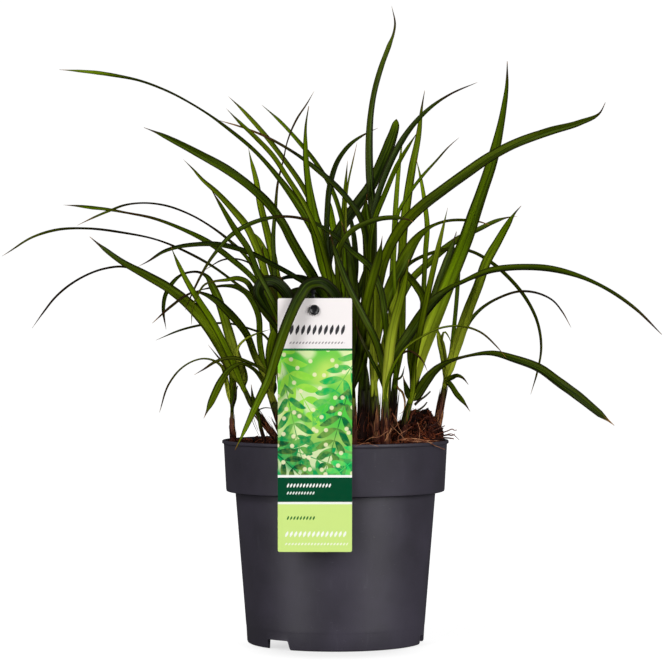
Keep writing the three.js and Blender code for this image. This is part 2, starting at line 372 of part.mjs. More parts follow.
function pot() {
  const profile = [
    [0, 0],
    [PAD_RADIUS, 0],
    [PAD_RADIUS + PAD_FLARE, FLOOR],
    [BASE_RADIUS - FOOT_INNER, FLOOR],
    [BASE_RADIUS - FOOT_INNER + 0.4, 0],
    [BASE_RADIUS - FOOT_OUTER, 0],
    [BASE_RADIUS - 0.2, FOOT_CHAMFER],
    [STEP_RADIUS, STEP_HEIGHT],
    [STEP_RADIUS + STEP_DEPTH, STEP_HEIGHT + STEP_DEPTH],
    [BODY_RADIUS, COLLAR_FOOT],
    [COLLAR_FOOT_RADIUS - 0.7 * FOOT_CHAMFER, COLLAR_FOOT],
    [COLLAR_FOOT_RADIUS, COLLAR_FOOT + FOOT_CHAMFER],
    [COLLAR_RADIUS, POT_HEIGHT - LIP_BAND - 0.8],
    [LIP_RADIUS, POT_HEIGHT - LIP_BAND],
    [LIP_RADIUS - 0.3, POT_HEIGHT],
    [COLLAR_RADIUS - WALL, POT_HEIGHT],
    ...innerWall(0).reverse(),
    [PAD_RADIUS + 0.6, FLOOR_TOP],
    [PAD_RADIUS - 1.4, PAD_WALL],
    [0, PAD_WALL],
  ];
  let body = outward(turned(profile, POT_SIDES));
  for (const angle of NOTCH_ANGLES) {
    const cutter = block(NOTCH_WIDTH, NOTCH_CUT, NOTCH_HEIGHT * 2, 0, -BASE_RADIUS, 0);
    cutter.rotateZ(THREE.MathUtils.degToRad(angle));
    body = body.subtract(outward(cutter));
  }
  for (let i = 0; i < DRAIN_COUNT; i += 1) {
    const hole = new THREE.CylinderGeometry(DRAIN_RADIUS, DRAIN_RADIUS, DRAIN_CUT, DRAIN_SIDES);
    hole.rotateX(Math.PI / 2);
    hole.translate(DRAIN_CIRCLE, 0, FLOOR);
    hole.rotateZ((i + 0.5) * 2 * Math.PI / DRAIN_COUNT);
    body = body.subtract(outward(hole));
  }
  return body;
}

// ---------------------------------------------------------------- growing medium

function soilHeight(x, y) {
  const mound = Math.exp(-0.5 * (((x - MOUND.x) / MOUND.spreadX) ** 2 + ((y - MOUND.y) / MOUND.spreadY) ** 2));
  const radius = Math.hypot(x, y);
  const edge = THREE.MathUtils.smoothstep(radius, SOIL_EDGE.from, SOIL_EDGE.to);
  const bump = Math.sin(x * 0.31 + y * 0.17) * Math.cos(y * 0.27 - x * 0.11);
  return SOIL_LEVEL + MOUND.height * mound * (1 - SOIL_EDGE.mound * edge) + SOIL_BUMP * bump - SOIL_EDGE.drop * edge;
}

function growingMedium() {
  const margin = GAP + SOIL_PLAY;
  const profile = [
    [0, PAD_WALL + GAP],
    [PAD_RADIUS - 1.8, PAD_WALL + GAP],
    [PAD_RADIUS + 0.2, FLOOR_TOP + margin],
    ...innerWall(margin),
    ...SOIL_RINGS.map((radius) => [radius, SOIL_LEVEL]),
    [0, SOIL_LEVEL],
  ];
  const geometry = turned(profile, POT_SIDES);
  const position = geometry.attributes.position;
  for (let i = 0; i < position.count; i += 1) {
    if (position.getZ(i) > POT_HEIGHT - COLLAR_LEDGE - 1) {
      position.setZ(i, soilHeight(position.getX(i), position.getY(i)));
    }
  }
  return outward(geometry);
}

// ---------------------------------------------------------------- blades in elevation

// Points every SAMPLE_STEP along a smooth curve through x, z, width triples.
function smoothPath(triples, step) {
  const points = [];
  for (let i = 0; i < triples.length; i += 3) points.push(triples.slice(i, i + 3));
  const chord = points.slice(1).map((p, k) => Math.hypot(p[0] - points[k][0], p[1] - points[k][1]));
  const slope = points.map((p, k) => {
    if (k === 0) return [0, 1].map((c) => (points[1][c] - p[c]) / chord[0]);
    if (k === points.length - 1) return [0, 1].map((c) => (p[c] - points[k - 1][c]) / chord[k - 1]);
    const before = chord[k - 1];
    const after = chord[k];
    return [0, 1].map((c) => (
      after * (p[c] - points[k - 1][c]) / before + before * (points[k + 1][c] - p[c]) / after
    ) / (before + after));
  });
  const fine = [[...points[0], 0]];
  for (let k = 0; k < chord.length; k += 1) {
    for (let n = 1; n <= 12; n += 1) {
      const u = n / 12;
      const h = [(1 + 2 * u) * (1 - u) ** 2, u * (1 - u) ** 2, u * u * (3 - 2 * u), u * u * (u - 1)];
      const p = [0, 1].map((c) => h[0] * points[k][c] + h[1] * chord[k] * slope[k][c]
        + h[2] * points[k + 1][c] + h[3] * chord[k] * slope[k + 1][c]);
      const width = points[k][2] + u * (points[k + 1][2] - points[k][2]);
      const last = fine[fine.length - 1];
      fine.push([p[0], p[1], width, last[3] + Math.hypot(p[0] - last[0], p[1] - last[1])]);
    }
  }
  const total = fine[fine.length - 1][3];
  const count = Math.max(4, Math.round(total / step));
  const samples = [];
  let k = 0;
  for (let n = 0; n <= count; n += 1) {
    const target = total * n / count;
    while (k < fine.length - 2 && fine[k + 1][3] < target) k += 1;
    const u = (target - fine[k][3]) / (fine[k + 1][3] - fine[k][3]);
    samples.push([0, 1, 2].map((c) => fine[k][c] + u * (fine[k + 1][c] - fine[k][c])));
  }
  return { samples, total };
}

function alongSight(x, z, y) {
  const scale = 1 + y / EYE_DISTANCE;
  return new THREE.Vector3(x * scale, y, EYE_HEIGHT + (z - EYE_HEIGHT) * scale);
}

function depthAlong(footDepth, depths, power, along) {
  if (!Array.isArray(depths)) return footDepth + (depths - footDepth) * along ** power;
  const knots = [footDepth, ...depths];
  const k = Math.min(depths.length - 1, Math.floor(along * depths.length));
  return THREE.MathUtils.lerp(knots[k], knots[k + 1], along * depths.length - k);
}

function elevationBlade([name, shootName, full, depths, triples, power = DEPTH_POWER]) {
  const shoot = SHOOTS[shootName];
  const stem = shoot.stem;
  const [topX, topZ] = stem.slice(-2);
  const [lowX, lowZ] = stem.slice(-4, -2);
  const rootWidth = shoot.r * 1.5;
  const foot = [topX + (lowX - topX) * 0.35, topZ + (lowZ - topZ) * 0.35, Math.min(rootWidth, full * 0.8)];
  const neck = [topX, topZ, Math.min(rootWidth, full * 0.9)];
  const { samples, total } = smoothPath([...foot, ...neck, ...triples], SAMPLE_STEP);
  const step = total / (samples.length - 1);
  const blade = { name, shoot: shootName, full, still: false, points: [] };
  const tipDepth = [depths].flat().at(-1);
  const sisters = BLADES.filter((b) => b[1] === shootName).map((b) => [b[3]].flat().at(-1)).sort((a, b) => a - b);
  const rank = sisters.length > 1 ? sisters.indexOf(tipDepth) / (sisters.length - 1) - 0.5 : 0;
  const footDepth = shoot.y + rank * 2 * NEST * shoot.r;
  samples.forEach(([x, z, width], n) => {
    const along = n / (samples.length - 1);
    const y = depthAlong(footDepth, depths, power, along);
    const free = THREE.MathUtils.clamp((n * step - FREE_FROM) / (FREE_FULL - FREE_FROM), 0, 1);
    const taper = Math.min(1, 0.4 + 2.4 * along, 0.14 + 3.2 * (1 - along));
    const real = Math.max(width, full * taper);
    blade.points.push({ x, z, y, free, half: width / 2, width: real, sine: Math.min(1, width / real) });
  });
  const lean = Math.sign(samples[0][0] - samples[samples.length - 1][0]) || 1;
  blade.side = lean * (Math.sign(shoot.y - tipDepth) || 1);
  return blade;
}

function elevationStem(name, shoot) {
  const triples = [];
  for (let i = 0; i < shoot.stem.length; i += 2) triples.push(shoot.stem[i], shoot.stem[i + 1], 0);
  const radius = shoot.r + GAP + SHEATH_WALL;
  const points = smoothPath(triples, SAMPLE_STEP).samples.map(([x, z]) => (
    { x, z, y: shoot.y, free: 0, half: radius, width: 2 * radius, sine: 0 }));
  return { name, shoot: name, still: true, points };
}

// ---------------------------------------------------------------- bending the blades clear

function depthReach(point) {
  return 0.5 * point.width * Math.sqrt(1 - point.sine ** 2) + 0.5 * BLADE_FOLD * point.width + BLADE_THICKNESS;
}

// All places where two blades cover each other in elevation, with the order that they keep there.
function contactsOf(items) {
  const contacts = [];
  const rank = new Map(IN_FRONT.flatMap(([front, back]) => [[`${front}|${back}`, -1], [`${back}|${front}`, 1]]));
  for (let a = 0; a < items.length; a += 1) {
    for (let b = a + 1; b < items.length; b += 1) {
      const pair = [];
      let order = 0;
      const sameShoot = items[a].shoot === items[b].shoot;
      if (sameShoot && (items[a].still || items[b].still)) continue;
      for (const p of items[a].points) {
        for (const q of items[b].points) {
          const reach = p.half + q.half + CONTACT_SLACK;
          if ((p.x - q.x) ** 2 + (p.z - q.z) ** 2 >= reach * reach) continue;
          const share = sameShoot ? Math.min(p.free, q.free) : 1;
          if (p.free + q.free === 0 || share === 0) continue;
          pair.push({ p, q, need: share * (depthReach(p) + depthReach(q) + CLEARANCE) });
          order += p.y - q.y;
        }
      }
      const sign = rank.get(`${items[a].name}|${items[b].name}`) || Math.sign(order) || 1;
      for (const contact of pair) contacts.push({ ...contact, sign });
    }
  }
  return contacts;
}

function smoothed(values) {
  return values.map((v, n) => {
    const before = values[Math.max(0, n - 1)];
    const after = values[Math.min(values.length - 1, n + 1)];
    return 0.25 * before + 0.5 * v + 0.25 * after;
  });
}

function settle(items) {
  const contacts = contactsOf(items);
  for (let round = 0; round < SETTLE_ROUNDS; round += 1) {
    for (const item of items) {
      for (const p of item.points) {
        p.away = 0;
        p.near = 0;
      }
    }
    for (const { p, q, need, sign } of contacts) {
      const short = need - sign * (p.y - q.y);
      if (short <= 0) continue;
      const share = short / (p.free + q.free);
      const forP = sign > 0 ? 'away' : 'near';
      const forQ = sign > 0 ? 'near' : 'away';
      p[forP] = Math.max(p[forP], share * p.free);
      q[forQ] = Math.max(q[forQ], share * q.free);
    }
    for (const item of items) {
      if (item.still) continue;
      let move = item.points.map((p) => p.away - p.near);
      for (let pass = 0; pass < 4; pass += 1) move = smoothed(move);
      item.points.forEach((p, n) => {
        p.y += move[n] * p.free;
      });
    }
  }
}

// ---------------------------------------------------------------- blades as solids

// The blade's edges in space at each sample: centre, half width vector and normal.
function bladeFrames(blade) {
  const centres = blade.points.map((p) => alongSight(p.x, p.z, p.y));
  const eye = new THREE.Vector3(0, -EYE_DISTANCE, EYE_HEIGHT);
  const frames = blade.points.map((p, n) => {
    const before = centres[Math.max(0, n - 1)];
    const after = centres[Math.min(centres.length - 1, n + 1)];
    const along = after.clone().sub(before).normalize();
    const sight = centres[n].clone().sub(eye).normalize();
    const across = along.clone().cross(sight).normalize();
    const deep = along.clone().cross(across).normalize();
    const cosine = blade.side * Math.sqrt(1 - p.sine ** 2);
    const side = across.multiplyScalar(p.sine).addScaledVector(deep, cosine);
    const normal = along.clone().cross(side).normalize();
    const half = 0.5 * p.width * (1 + p.y / EYE_DISTANCE);
    return { centre: centres[n], side: side.multiplyScalar(half), normal, half };
  });
  const up = Math.sign(frames.reduce((sum, f) => sum + f.normal.z, 0)) || 1;
  for (const frame of frames) frame.normal.multiplyScalar(up);
  return frames;
}

// The samples that a faceted blade needs: the ends, and where both edges leave the straight line.
function stationsOf(frames) {
  const edge = (n) => {
    const f = frames[n];
    return [...f.centre.clone().add(f.side).toArray(), ...f.centre.clone().sub(f.side).toArray()];
  };
  const keep = new Set([0, frames.length - 1]);
  const split = (first, last) => {
    const a = edge(first);
    const b = edge(last);
    let worst = 0;
    let at = -1;
    for (let n = first + 1; n < last; n += 1) {
      const u = (n - first) / (last - first);
      const e = edge(n);
      const off = Math.sqrt(e.reduce((sum, v, c) => sum + (v - a[c] - u * (b[c] - a[c])) ** 2, 0) / 2);
      if (off > worst) {
        worst = off;
        at = n;
      }
    }
    if (worst < STATION_TOLERANCE) return;
    keep.add(at);
    split(first, at);
    split(at, last);
  };
  split(0, frames.length - 1);
  return [...keep].sort((a, b) => a - b).map((n) => frames[n]);
}

// A closed strip: flat for a narrow blade, folded along its midrib for a broad one.
function bladeSolid(blade) {
  const frames = bladeFrames(blade);
  const folded = blade.full >= FOLDED_FROM;
  const points = [];
  const ringSize = folded ? 6 : 4;
  const stations = stationsOf(frames);
  for (const { centre, side, normal, half } of stations) {
    const rise = normal.clone().multiplyScalar(BLADE_THICKNESS / 2);
    const fold = normal.clone().multiplyScalar(folded ? -BLADE_FOLD * half : 0);
    const ribs = folded ? [-1, 0, 1] : [-1, 1];
    const upper = ribs.map((s) => centre.clone().addScaledVector(side, s).add(s === 0 ? fold : new THREE.Vector3()));
    for (const p of upper) points.push(p.clone().add(rise));
    for (const p of upper.reverse()) points.push(p.clone().sub(rise));
  }
  const triangles = [];
  for (let k = 0; k < stations.length - 1; k += 1) {
    const a = k * ringSize;
    const b = a + ringSize;
    const half = ringSize / 2;
    for (let n = 0; n < half - 1; n += 1) {
      const m = ringSize - 1 - n;
      triangles.push(a + n, b + n, b + n + 1, a + n, b + n + 1, a + n + 1);
      triangles.push(a + m, b + m - 1, b + m, a + m, a + m - 1, b + m - 1);
    }
    triangles.push(a + half - 1, b + half - 1, b + half, a + half - 1, b + half, a + half);
    triangles.push(a + ringSize - 1, b + ringSize - 1, b, a + ringSize - 1, b, a);
  }
  const last = (stations.length - 1) * ringSize;
  for (let n = 0; n < ringSize / 2 - 1; n += 1) {
    const m = ringSize - 1 - n;
    triangles.push(n, n + 1, m - 1, n, m - 1, m);
    triangles.push(last + n, last + m - 1, last + n + 1, last + n, last + m, last + m - 1);
  }
  return outward(indexedGeometry(points, triangles));
}

// ---------------------------------------------------------------- stems and sheaths

function stemPath(shoot) {
  const points = [];
  for (let i = 0; i < shoot.stem.length; i += 2) {
    points.push(alongSight(shoot.stem[i], shoot.stem[i + 1], shoot.y));
  }
  const direction = points[0].clone().sub(points[1]).normalize();
  points.unshift(points[0].clone().addScaledVector(direction, STEM_BURIED / -direction.z));
  return points;
}

// Rings of points round a path, level with the ground, one radius for each point.
function ringsRound(path, radii) {
  return path.map((centre, k) => Array.from({ length: STEM_SIDES }, (_, n) => {
    const angle = (n + 0.5) * 2 * Math.PI / STEM_SIDES;
    return new THREE.Vector3(
      centre.x + radii[k] * Math.cos(angle), centre.y + radii[k] * Math.sin(angle), centre.z);
  }));
}

function tubeSide(triangles, a, b, sides, inward) {
  for (let n = 0; n < sides; n += 1) {
    const m = (n + 1) % sides;
    if (inward) triangles.push(a + n, b + n, b + m, a + n, b + m, a + m);
    else triangles.push(a + n, b + m, b + n, a + n, a + m, b + m);
  }
}

function solidRod(path, radii) {
  const rings = ringsRound(path, radii);
  const points = [...rings.flat(), path[0].clone(), path[path.length - 1].clone()];
  const triangles = [];
  for (let k = 0; k < rings.length - 1; k += 1) {
    tubeSide(triangles, k * STEM_SIDES, (k + 1) * STEM_SIDES, STEM_SIDES, false);
  }
  const last = (rings.length - 1) * STEM_SIDES;
  for (let n = 0; n < STEM_SIDES; n += 1) {
    const m = (n + 1) % STEM_SIDES;
    triangles.push(n, rings.length * STEM_SIDES, m);
    triangles.push(last + n, last + m, rings.length * STEM_SIDES + 1);
  }
  return outward(indexedGeometry(points, triangles));
}

function stemSolid(shoot) {
  const path = stemPath(shoot);
  const radii = path.map((_, k) => (k === path.length - 1 ? shoot.r * 0.9 : shoot.r));
  return solidRod(path, radii);
}

function pointAtHeight(path, z) {
  let k = 0;
  while (k < path.length - 2 && path[k + 1].z < z) k += 1;
  return path[k].clone().lerp(path[k + 1], (z - path[k].z) / (path[k + 1].z - path[k].z));
}

// A sleeve of dry leaf bases with a ragged, pointed top, one hair clear of its stem.
function sheathSolid(shoot, seed) {
  const path = stemPath(shoot);
  const top = alongSight(0, shoot.sheath, shoot.y).z;
  const bottom = path[1].z - SHEATH_BURIED;
  const levels = [bottom, ...path.map((p) => p.z).filter((z) => z > bottom + 1 && z < top - 4), top];
  const centres = levels.map((z) => pointAtHeight(path, z));
  const inner = ringsRound(centres, centres.map(() => shoot.r + GAP));
  const outer = ringsRound(centres, centres.map((_, k) => (
    shoot.r + GAP + SHEATH_WALL * (k === centres.length - 1 ? SHEATH_TEETH.thinning : 1))));
  const ragged = (n) => SHEATH_TEETH.rise * Math.abs(Math.sin(seed * 2.3 + n * 2.1)) - SHEATH_TEETH.notch * (n % 2);
  for (const ring of [inner[inner.length - 1], outer[outer.length - 1]]) {
    ring.forEach((p, n) => {
      const z = p.z + Math.min(0, ragged(n));
      const shift = pointAtHeight(path, z).sub(pointAtHeight(path, p.z));
      p.add(shift);
    });
  }
  const points = [...outer.flat(), ...inner.flat()];
  const inside = outer.length * STEM_SIDES;
  const last = (outer.length - 1) * STEM_SIDES;
  const triangles = [];
  for (let k = 0; k < outer.length - 1; k += 1) {
    tubeSide(triangles, k * STEM_SIDES, (k + 1) * STEM_SIDES, STEM_SIDES, false);
    tubeSide(triangles, inside + k * STEM_SIDES, inside + (k + 1) * STEM_SIDES, STEM_SIDES, true);
  }
  tubeSide(triangles, 0, inside, STEM_SIDES, true);
  tubeSide(triangles, last, inside + last, STEM_SIDES, false);
  return outward(indexedGeometry(points, triangles));
}

function holeFor(shoot) {
  const path = stemPath(shoot);
  const down = path[0].clone().sub(path[1]).normalize();
  const foot = path[0].clone().addScaledVector(down, GAP);
  const radius = shoot.r + SHEATH_WALL + 2 * GAP;
  return solidRod([foot, ...path.slice(1)], path.map(() => radius));
}

// ---------------------------------------------------------------- hang card and stake

function roundedSheet({ left, right, bottom, top, back, thickness, corner }) {
  const shape = new THREE.Shape();
  shape.moveTo(left + corner, bottom);
  shape.lineTo(right - corner, bottom);
  shape.absarc(right - corner, bottom + corner, corner, -Math.PI / 2, 0, false);
  shape.lineTo(right, top - corner);
  shape.absarc(right - corner, top - corner, corner, 0, Math.PI / 2, false);
  shape.lineTo(left + corner, top);
  shape.absarc(left + corner, top - corner, corner, Math.PI / 2, Math.PI, false);
  shape.lineTo(left, bottom + corner);
  shape.absarc(left + corner, bottom + corner, corner, Math.PI, 1.5 * Math.PI, false);
  const hole = new THREE.Path();
  hole.absarc(STUD.x, STUD.z, STUD.pin + GAP, 0, 2 * Math.PI, true);
  shape.holes.push(hole);
  const geometry = new THREE.ExtrudeGeometry(shape, { depth: thickness, bevelEnabled: false, curveSegments: 4 });
  geometry.rotateX(Math.PI / 2);
  geometry.translate(0, back, 0);
  return geometry;
}

// The front line of the stake, as [y, z] from its foot to its top.
function stakeLine() {
  const front = CARD.back + GAP + STAKE.thickness / 2;
  return [
    [STAKE.footDepth, STAKE.foot],
    [STAKE.footDepth, STAKE.bendFrom],
    [front, STAKE.bendTo],
    [front, STAKE.top],
  ];
}

function stakeStrip(width, thickness, line) {
  const shape = new THREE.Shape();
  line.forEach(([y, z], k) => (k ? shape.lineTo(y - thickness / 2, z) : shape.moveTo(y - thickness / 2, z)));
  [...line].reverse().forEach(([y, z]) => shape.lineTo(y + thickness / 2, z));
  shape.closePath();
  const geometry = new THREE.ExtrudeGeometry(shape, { depth: width, bevelEnabled: false });
  geometry.translate(0, 0, -width / 2);
  geometry.rotateX(Math.PI / 2);
  geometry.rotateZ(Math.PI / 2);
  geometry.translate(STAKE.x, 0, 0);
  return geometry;
}

function stake() {
  const strip = outward(stakeStrip(STAKE.width, STAKE.thickness, stakeLine()));
  const cardFront = CARD.back - CARD.thickness;
  const inside = CARD.back + GAP + STAKE.thickness * 0.6;
  const profile = [
    [0, -inside],
    [STUD.pin, -inside],
    [STUD.pin, -cardFront + GAP],
    [STUD.head, -cardFront + GAP],
    [STUD.head, -cardFront + GAP + 0.7],
    [STUD.head * 0.72, -cardFront + GAP + 0.8 * STUD.headHeight],
    [0, -cardFront + GAP + STUD.headHeight],
  ];
  const stud = turned(profile, 16);
  stud.rotateX(Math.PI / 2);
  stud.translate(STUD.x, 0, STUD.z);
  return strip.add(outward(stud));
}

function stakeSlot() {
  const line = [[STAKE.footDepth, STAKE.foot - GAP], [STAKE.footDepth, STAKE.bendFrom + 10]];
  return outward(stakeStrip(STAKE.width + 2 * GAP, STAKE.thickness + 2 * GAP, line));
}

// ---------------------------------------------------------------- assembly

const group = new THREE.Group();

function place(name, look, manifold) {
  const [colour, roughness] = COLOURS[look];
  const material = new THREE.MeshStandardMaterial({ color: colour, roughness, metalness: 0, side: THREE.DoubleSide });
  const mesh = new THREE.Mesh(geometryOf(manifold), material);
  mesh.name = name;
  group.add(mesh);
}

place('pot', 'pot', pot());

let medium = growingMedium().subtract(stakeSlot());
for (const shoot of Object.values(SHOOTS)) medium = medium.subtract(holeFor(shoot));
place('growing_medium', 'medium', medium);

place('hang_card', 'card', outward(roundedSheet(CARD)));
place('card_stake', 'stake', stake());

const stems = Object.entries(SHOOTS).map(([name, shoot]) => elevationStem(name, shoot));
const blades = BLADES.map(elevationBlade);
settle([...stems, ...blades]);

Object.entries(SHOOTS).forEach(([name, shoot], number) => {
  let tuft = stemSolid(shoot);
  for (const blade of blades.filter((b) => b.shoot === name)) tuft = tuft.add(bladeSolid(blade));
  const label = name.replace('s', 'shoot_');
  place(`${label}_blades`, 'blades', wholeBody(tuft));
  place(`${label}_sheath`, 'sheath', sheathSolid(shoot, number));
});

export default group;
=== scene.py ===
# %% [markdown]
# # A carex sedge in its nursery pot
#
# This notebook dresses a finished CAD part. The solids of the plant, the pot, the growing medium and
# the hang card are loaded as a fixed frame, and each of them gets a finer piece or a finish of its own.
# Everything is in metres in Blender. The sizes below are written in millimetres, because that is how
# a nursery gives the size of a pot, and `MM` turns them into metres.

# %% Load the fixed frame
import math

import bmesh
import bpy
import numpy as np
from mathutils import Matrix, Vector


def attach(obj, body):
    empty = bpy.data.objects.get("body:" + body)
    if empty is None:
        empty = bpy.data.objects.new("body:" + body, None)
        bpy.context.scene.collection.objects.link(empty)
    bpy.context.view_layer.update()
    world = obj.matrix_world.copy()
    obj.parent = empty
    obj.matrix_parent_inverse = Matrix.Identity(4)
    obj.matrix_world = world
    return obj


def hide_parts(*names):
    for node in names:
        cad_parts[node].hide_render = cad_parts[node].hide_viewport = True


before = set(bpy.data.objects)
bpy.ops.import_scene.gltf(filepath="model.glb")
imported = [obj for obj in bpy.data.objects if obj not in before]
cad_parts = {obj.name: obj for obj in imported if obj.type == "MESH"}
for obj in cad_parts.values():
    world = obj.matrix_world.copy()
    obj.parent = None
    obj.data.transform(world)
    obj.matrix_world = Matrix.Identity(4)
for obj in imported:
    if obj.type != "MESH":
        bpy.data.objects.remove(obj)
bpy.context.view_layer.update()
MM = 0.001
print("CAD nodes:", len(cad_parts))

# %% [markdown]
# ## The camera, the room and the light
#
# A plant is usually pictured from a good distance with a long lens, level with the middle of its
# leaves, so that the pot doesn't flare towards the viewer. The camera stands 2.3 m away with a lens of
# 147 mm. The light is that of a studio: a large soft key from the front right, a weak fill from the
# left and a soft light from above. Suns with a wide disc give it, because their light doesn't weaken
# with distance, so the white floor stays evenly white. The room itself is white where the camera looks
# at it and dim for everything else, which keeps the greens deep and the edges of the pot dark. The
# lamps stand low, so that upright leaf bases are bright and the backs of the arching blades are dark.
# A fourth lamp stands behind the plant, for views from there. It is kept out of reflections, because it
# would draw a white line on the lip of the pot as seen from the front.

# %% Camera
CAMERA = Vector((-0.8, -2300, 270.4)) * MM
AIM = Vector((-0.77, 0, 260.3)) * MM

bpy.ops.object.camera_add(location=CAMERA)
camera = bpy.context.object
camera.name = "camera"
camera.data.lens = 146.9
camera.data.sensor_width = 36
camera.rotation_euler = (AIM - CAMERA).to_track_quat("-Z", "Y").to_euler()
bpy.context.scene.camera = camera

# %% World and lights
scene = bpy.context.scene
scene.view_settings.view_transform = "Standard"
scene.view_settings.look = "None"
world = bpy.data.worlds.new("white_room")
scene.world = world
world.use_nodes = True
AMBIENT, BACKDROP = 0.05, 1.02
background = world.node_tree.nodes["Background"]
background.inputs["Color"].default_value = (1, 1, 1, 1)
seen = world.node_tree.nodes.new("ShaderNodeLightPath")
level = world.node_tree.nodes.new("ShaderNodeMix")
level.inputs["A"].default_value, level.inputs["B"].default_value = AMBIENT, BACKDROP
world.node_tree.links.new(seen.outputs["Is Camera Ray"], level.inputs["Factor"])
world.node_tree.links.new(level.outputs["Result"], background.inputs["Strength"])


def soft_sun(name, place, strength, disc):
    """A sun that shines from a place towards the plant, with a disc of so many degrees."""
    bpy.ops.object.light_add(type="SUN", location=Vector(place) * MM)
    lamp = bpy.context.object
    lamp.name = name
    lamp.data.energy = strength
    lamp.data.angle = math.radians(disc)
    lamp.rotation_euler = (Vector((0, 0, 230)) * MM - lamp.location).to_track_quat("-Z", "Y").to_euler()
    return lamp


soft_sun("key_light", (1650, -1400, 830), 2.75, 40)
soft_sun("fill_light", (-1600, -1350, 560), 1.25, 50)
soft_sun("top_light", (-1050, -1400, 1700), 1.2, 22)
back_light = soft_sun("back_light", (-60, 2200, 330), 2.0, 16)
back_light.visible_glossy = False

# %% [markdown]
# ## Small helpers for finishes
#
# Every finish is a Principled shader whose colours and roughness come from patterns. A node is added by
# one call, which takes plain values and sockets alike. The patterns that several finishes share, such
# as mottling and long fibres, are node groups: they are built once here, with named sockets, and placed
# in each finish with values of its own.


# %% Node helpers
def deselect():
    for o in bpy.context.selected_objects:
        o.select_set(False)


def choose(obj):
    """Select one object alone and make it the active one."""
    deselect()
    obj.select_set(True)
    bpy.context.view_layer.objects.active = obj


def feed(tree, value, socket):
    """Link a socket into an input, or set a plain value on it."""
    if isinstance(value, bpy.types.NodeSocket):
        tree.links.new(value, socket)
    else:
        socket.default_value = value


def add(tree, kind, settings=(), **links):
    """A node of one kind. settings are its own fields, links are sockets or plain values by socket name."""
    node = tree.nodes.new(kind)
    for field, value in dict(settings).items():
        setattr(node, field, value)
    for label, value in links.items():
        sockets = [s for s in node.inputs if s.name.replace(" ", "_") == label or s.identifier == label]
        enabled = [s for s in sockets if s.enabled] or sockets
        feed(tree, value, enabled[0])
    return node


def maths(tree, operation, a, b=0.0, clamp=False):
    node = tree.nodes.new("ShaderNodeMath")
    node.operation, node.use_clamp = operation, clamp
    feed(tree, a, node.inputs[0])
    feed(tree, b, node.inputs[1])
    return node.outputs[0]


def times(tree, a, b):
    return maths(tree, "MULTIPLY", a, b)


def plus(tree, a, b, clamp=False):
    return maths(tree, "ADD", a, b, clamp)


def minus(tree, a, b, clamp=False):
    return maths(tree, "SUBTRACT", a, b, clamp)


def absolute(tree, a):
    return maths(tree, "ABSOLUTE", a)


def blend_colour(tree, factor, a, b):
    node = tree.nodes.new("ShaderNodeMix")
    node.data_type = "RGBA"
    for socket, value in zip((node.inputs[0], node.inputs[6], node.inputs[7]), (factor, a, b)):
        feed(tree, value, socket)
    return node.outputs[2]


def smooth_step(tree, value, start, end):
    """A soft ramp from 0 at the start to 1 at the end."""
    return add(tree, "ShaderNodeMapRange", {"interpolation_type": "SMOOTHSTEP"},
               Value=value, From_Min=start, From_Max=end).outputs[0]


def object_place(tree):
    """Where a point is on its own object, in metres."""
    return add(tree, "ShaderNodeTexCoord").outputs["Object"]


def painted(tree, name):
    """The three channels of a colour attribute."""
    attribute = add(tree, "ShaderNodeAttribute", {"attribute_name": name})
    return add(tree, "ShaderNodeSeparateColor", Color=attribute.outputs["Color"]).outputs


def linear(code):
    """The linear colour of a hexadecimal screen colour."""
    parts = [int(code[k:k + 2], 16) / 255 for k in (0, 2, 4)]
    return tuple(p / 12.92 if p <= 0.04045 else ((p + 0.055) / 1.055) ** 2.4 for p in parts) + (1.0,)


# %% Shared pattern groups
def new_group(name, **inputs):
    """A node group that gives one mask. The default of each input also tells its kind."""
    tree = bpy.data.node_groups.new(name, "ShaderNodeTree")
    for label, value in inputs.items():
        kind = "NodeSocketVector" if isinstance(value, tuple) else "NodeSocketFloat"
        socket = tree.interface.new_socket(name=label.replace("_", " "), in_out="INPUT", socket_type=kind)
        socket.default_value = value
    tree.interface.new_socket(name="Mask", in_out="OUTPUT", socket_type="NodeSocketFloat")
    return tree, tree.nodes.new("NodeGroupInput").outputs, tree.nodes.new("NodeGroupOutput").inputs


def use_group(tree, group, **values):
    """The mask of a node group that is placed with values of its own."""
    node = tree.nodes.new("ShaderNodeGroup")
    node.node_tree = group
    for label, value in values.items():
        feed(tree, value, node.inputs[label.replace("_", " ")])
    return node.outputs["Mask"]


def mottle_group():
    """Cloudy patches: noise brought to a mask between two levels."""
    tree, i, o = new_group("mottle", Vector=(0, 0, 0), Scale=5.0, Detail=3.0, Low=0.4, High=0.6)
    noise = add(tree, "ShaderNodeTexNoise", Vector=i["Vector"], Scale=i["Scale"], Detail=i["Detail"])
    tree.links.new(smooth_step(tree, noise.outputs[0], i["Low"], i["High"]), o["Mask"])
    return tree


def fibre_group():
    """Long fibres: noise stretched along one axis of the vector it is given."""
    tree, i, o = new_group("fibres", Vector=(0, 0, 0), Stretch=(1, 1, 0.05), Scale=500.0, Low=0.4, High=0.6)
    pulled = add(tree, "ShaderNodeVectorMath", {"operation": "MULTIPLY"})
    tree.links.new(i["Vector"], pulled.inputs[0])
    tree.links.new(i["Stretch"], pulled.inputs[1])
    noise = add(tree, "ShaderNodeTexNoise", Vector=pulled.outputs[0], Scale=i["Scale"], Detail=2.0)
    tree.links.new(smooth_step(tree, noise.outputs[0], i["Low"], i["High"]), o["Mask"])
    return tree


MOTTLE = mottle_group()
FIBRES = fibre_group()


def mottle(tree, vector, scale, low, high, detail=3.0):
    return use_group(tree, MOTTLE, Vector=vector, Scale=scale, Low=low, High=high, Detail=detail)


def fibres(tree, vector, stretch, scale, low, high):
    return use_group(tree, FIBRES, Vector=vector, Stretch=stretch, Scale=scale, Low=low, High=high)


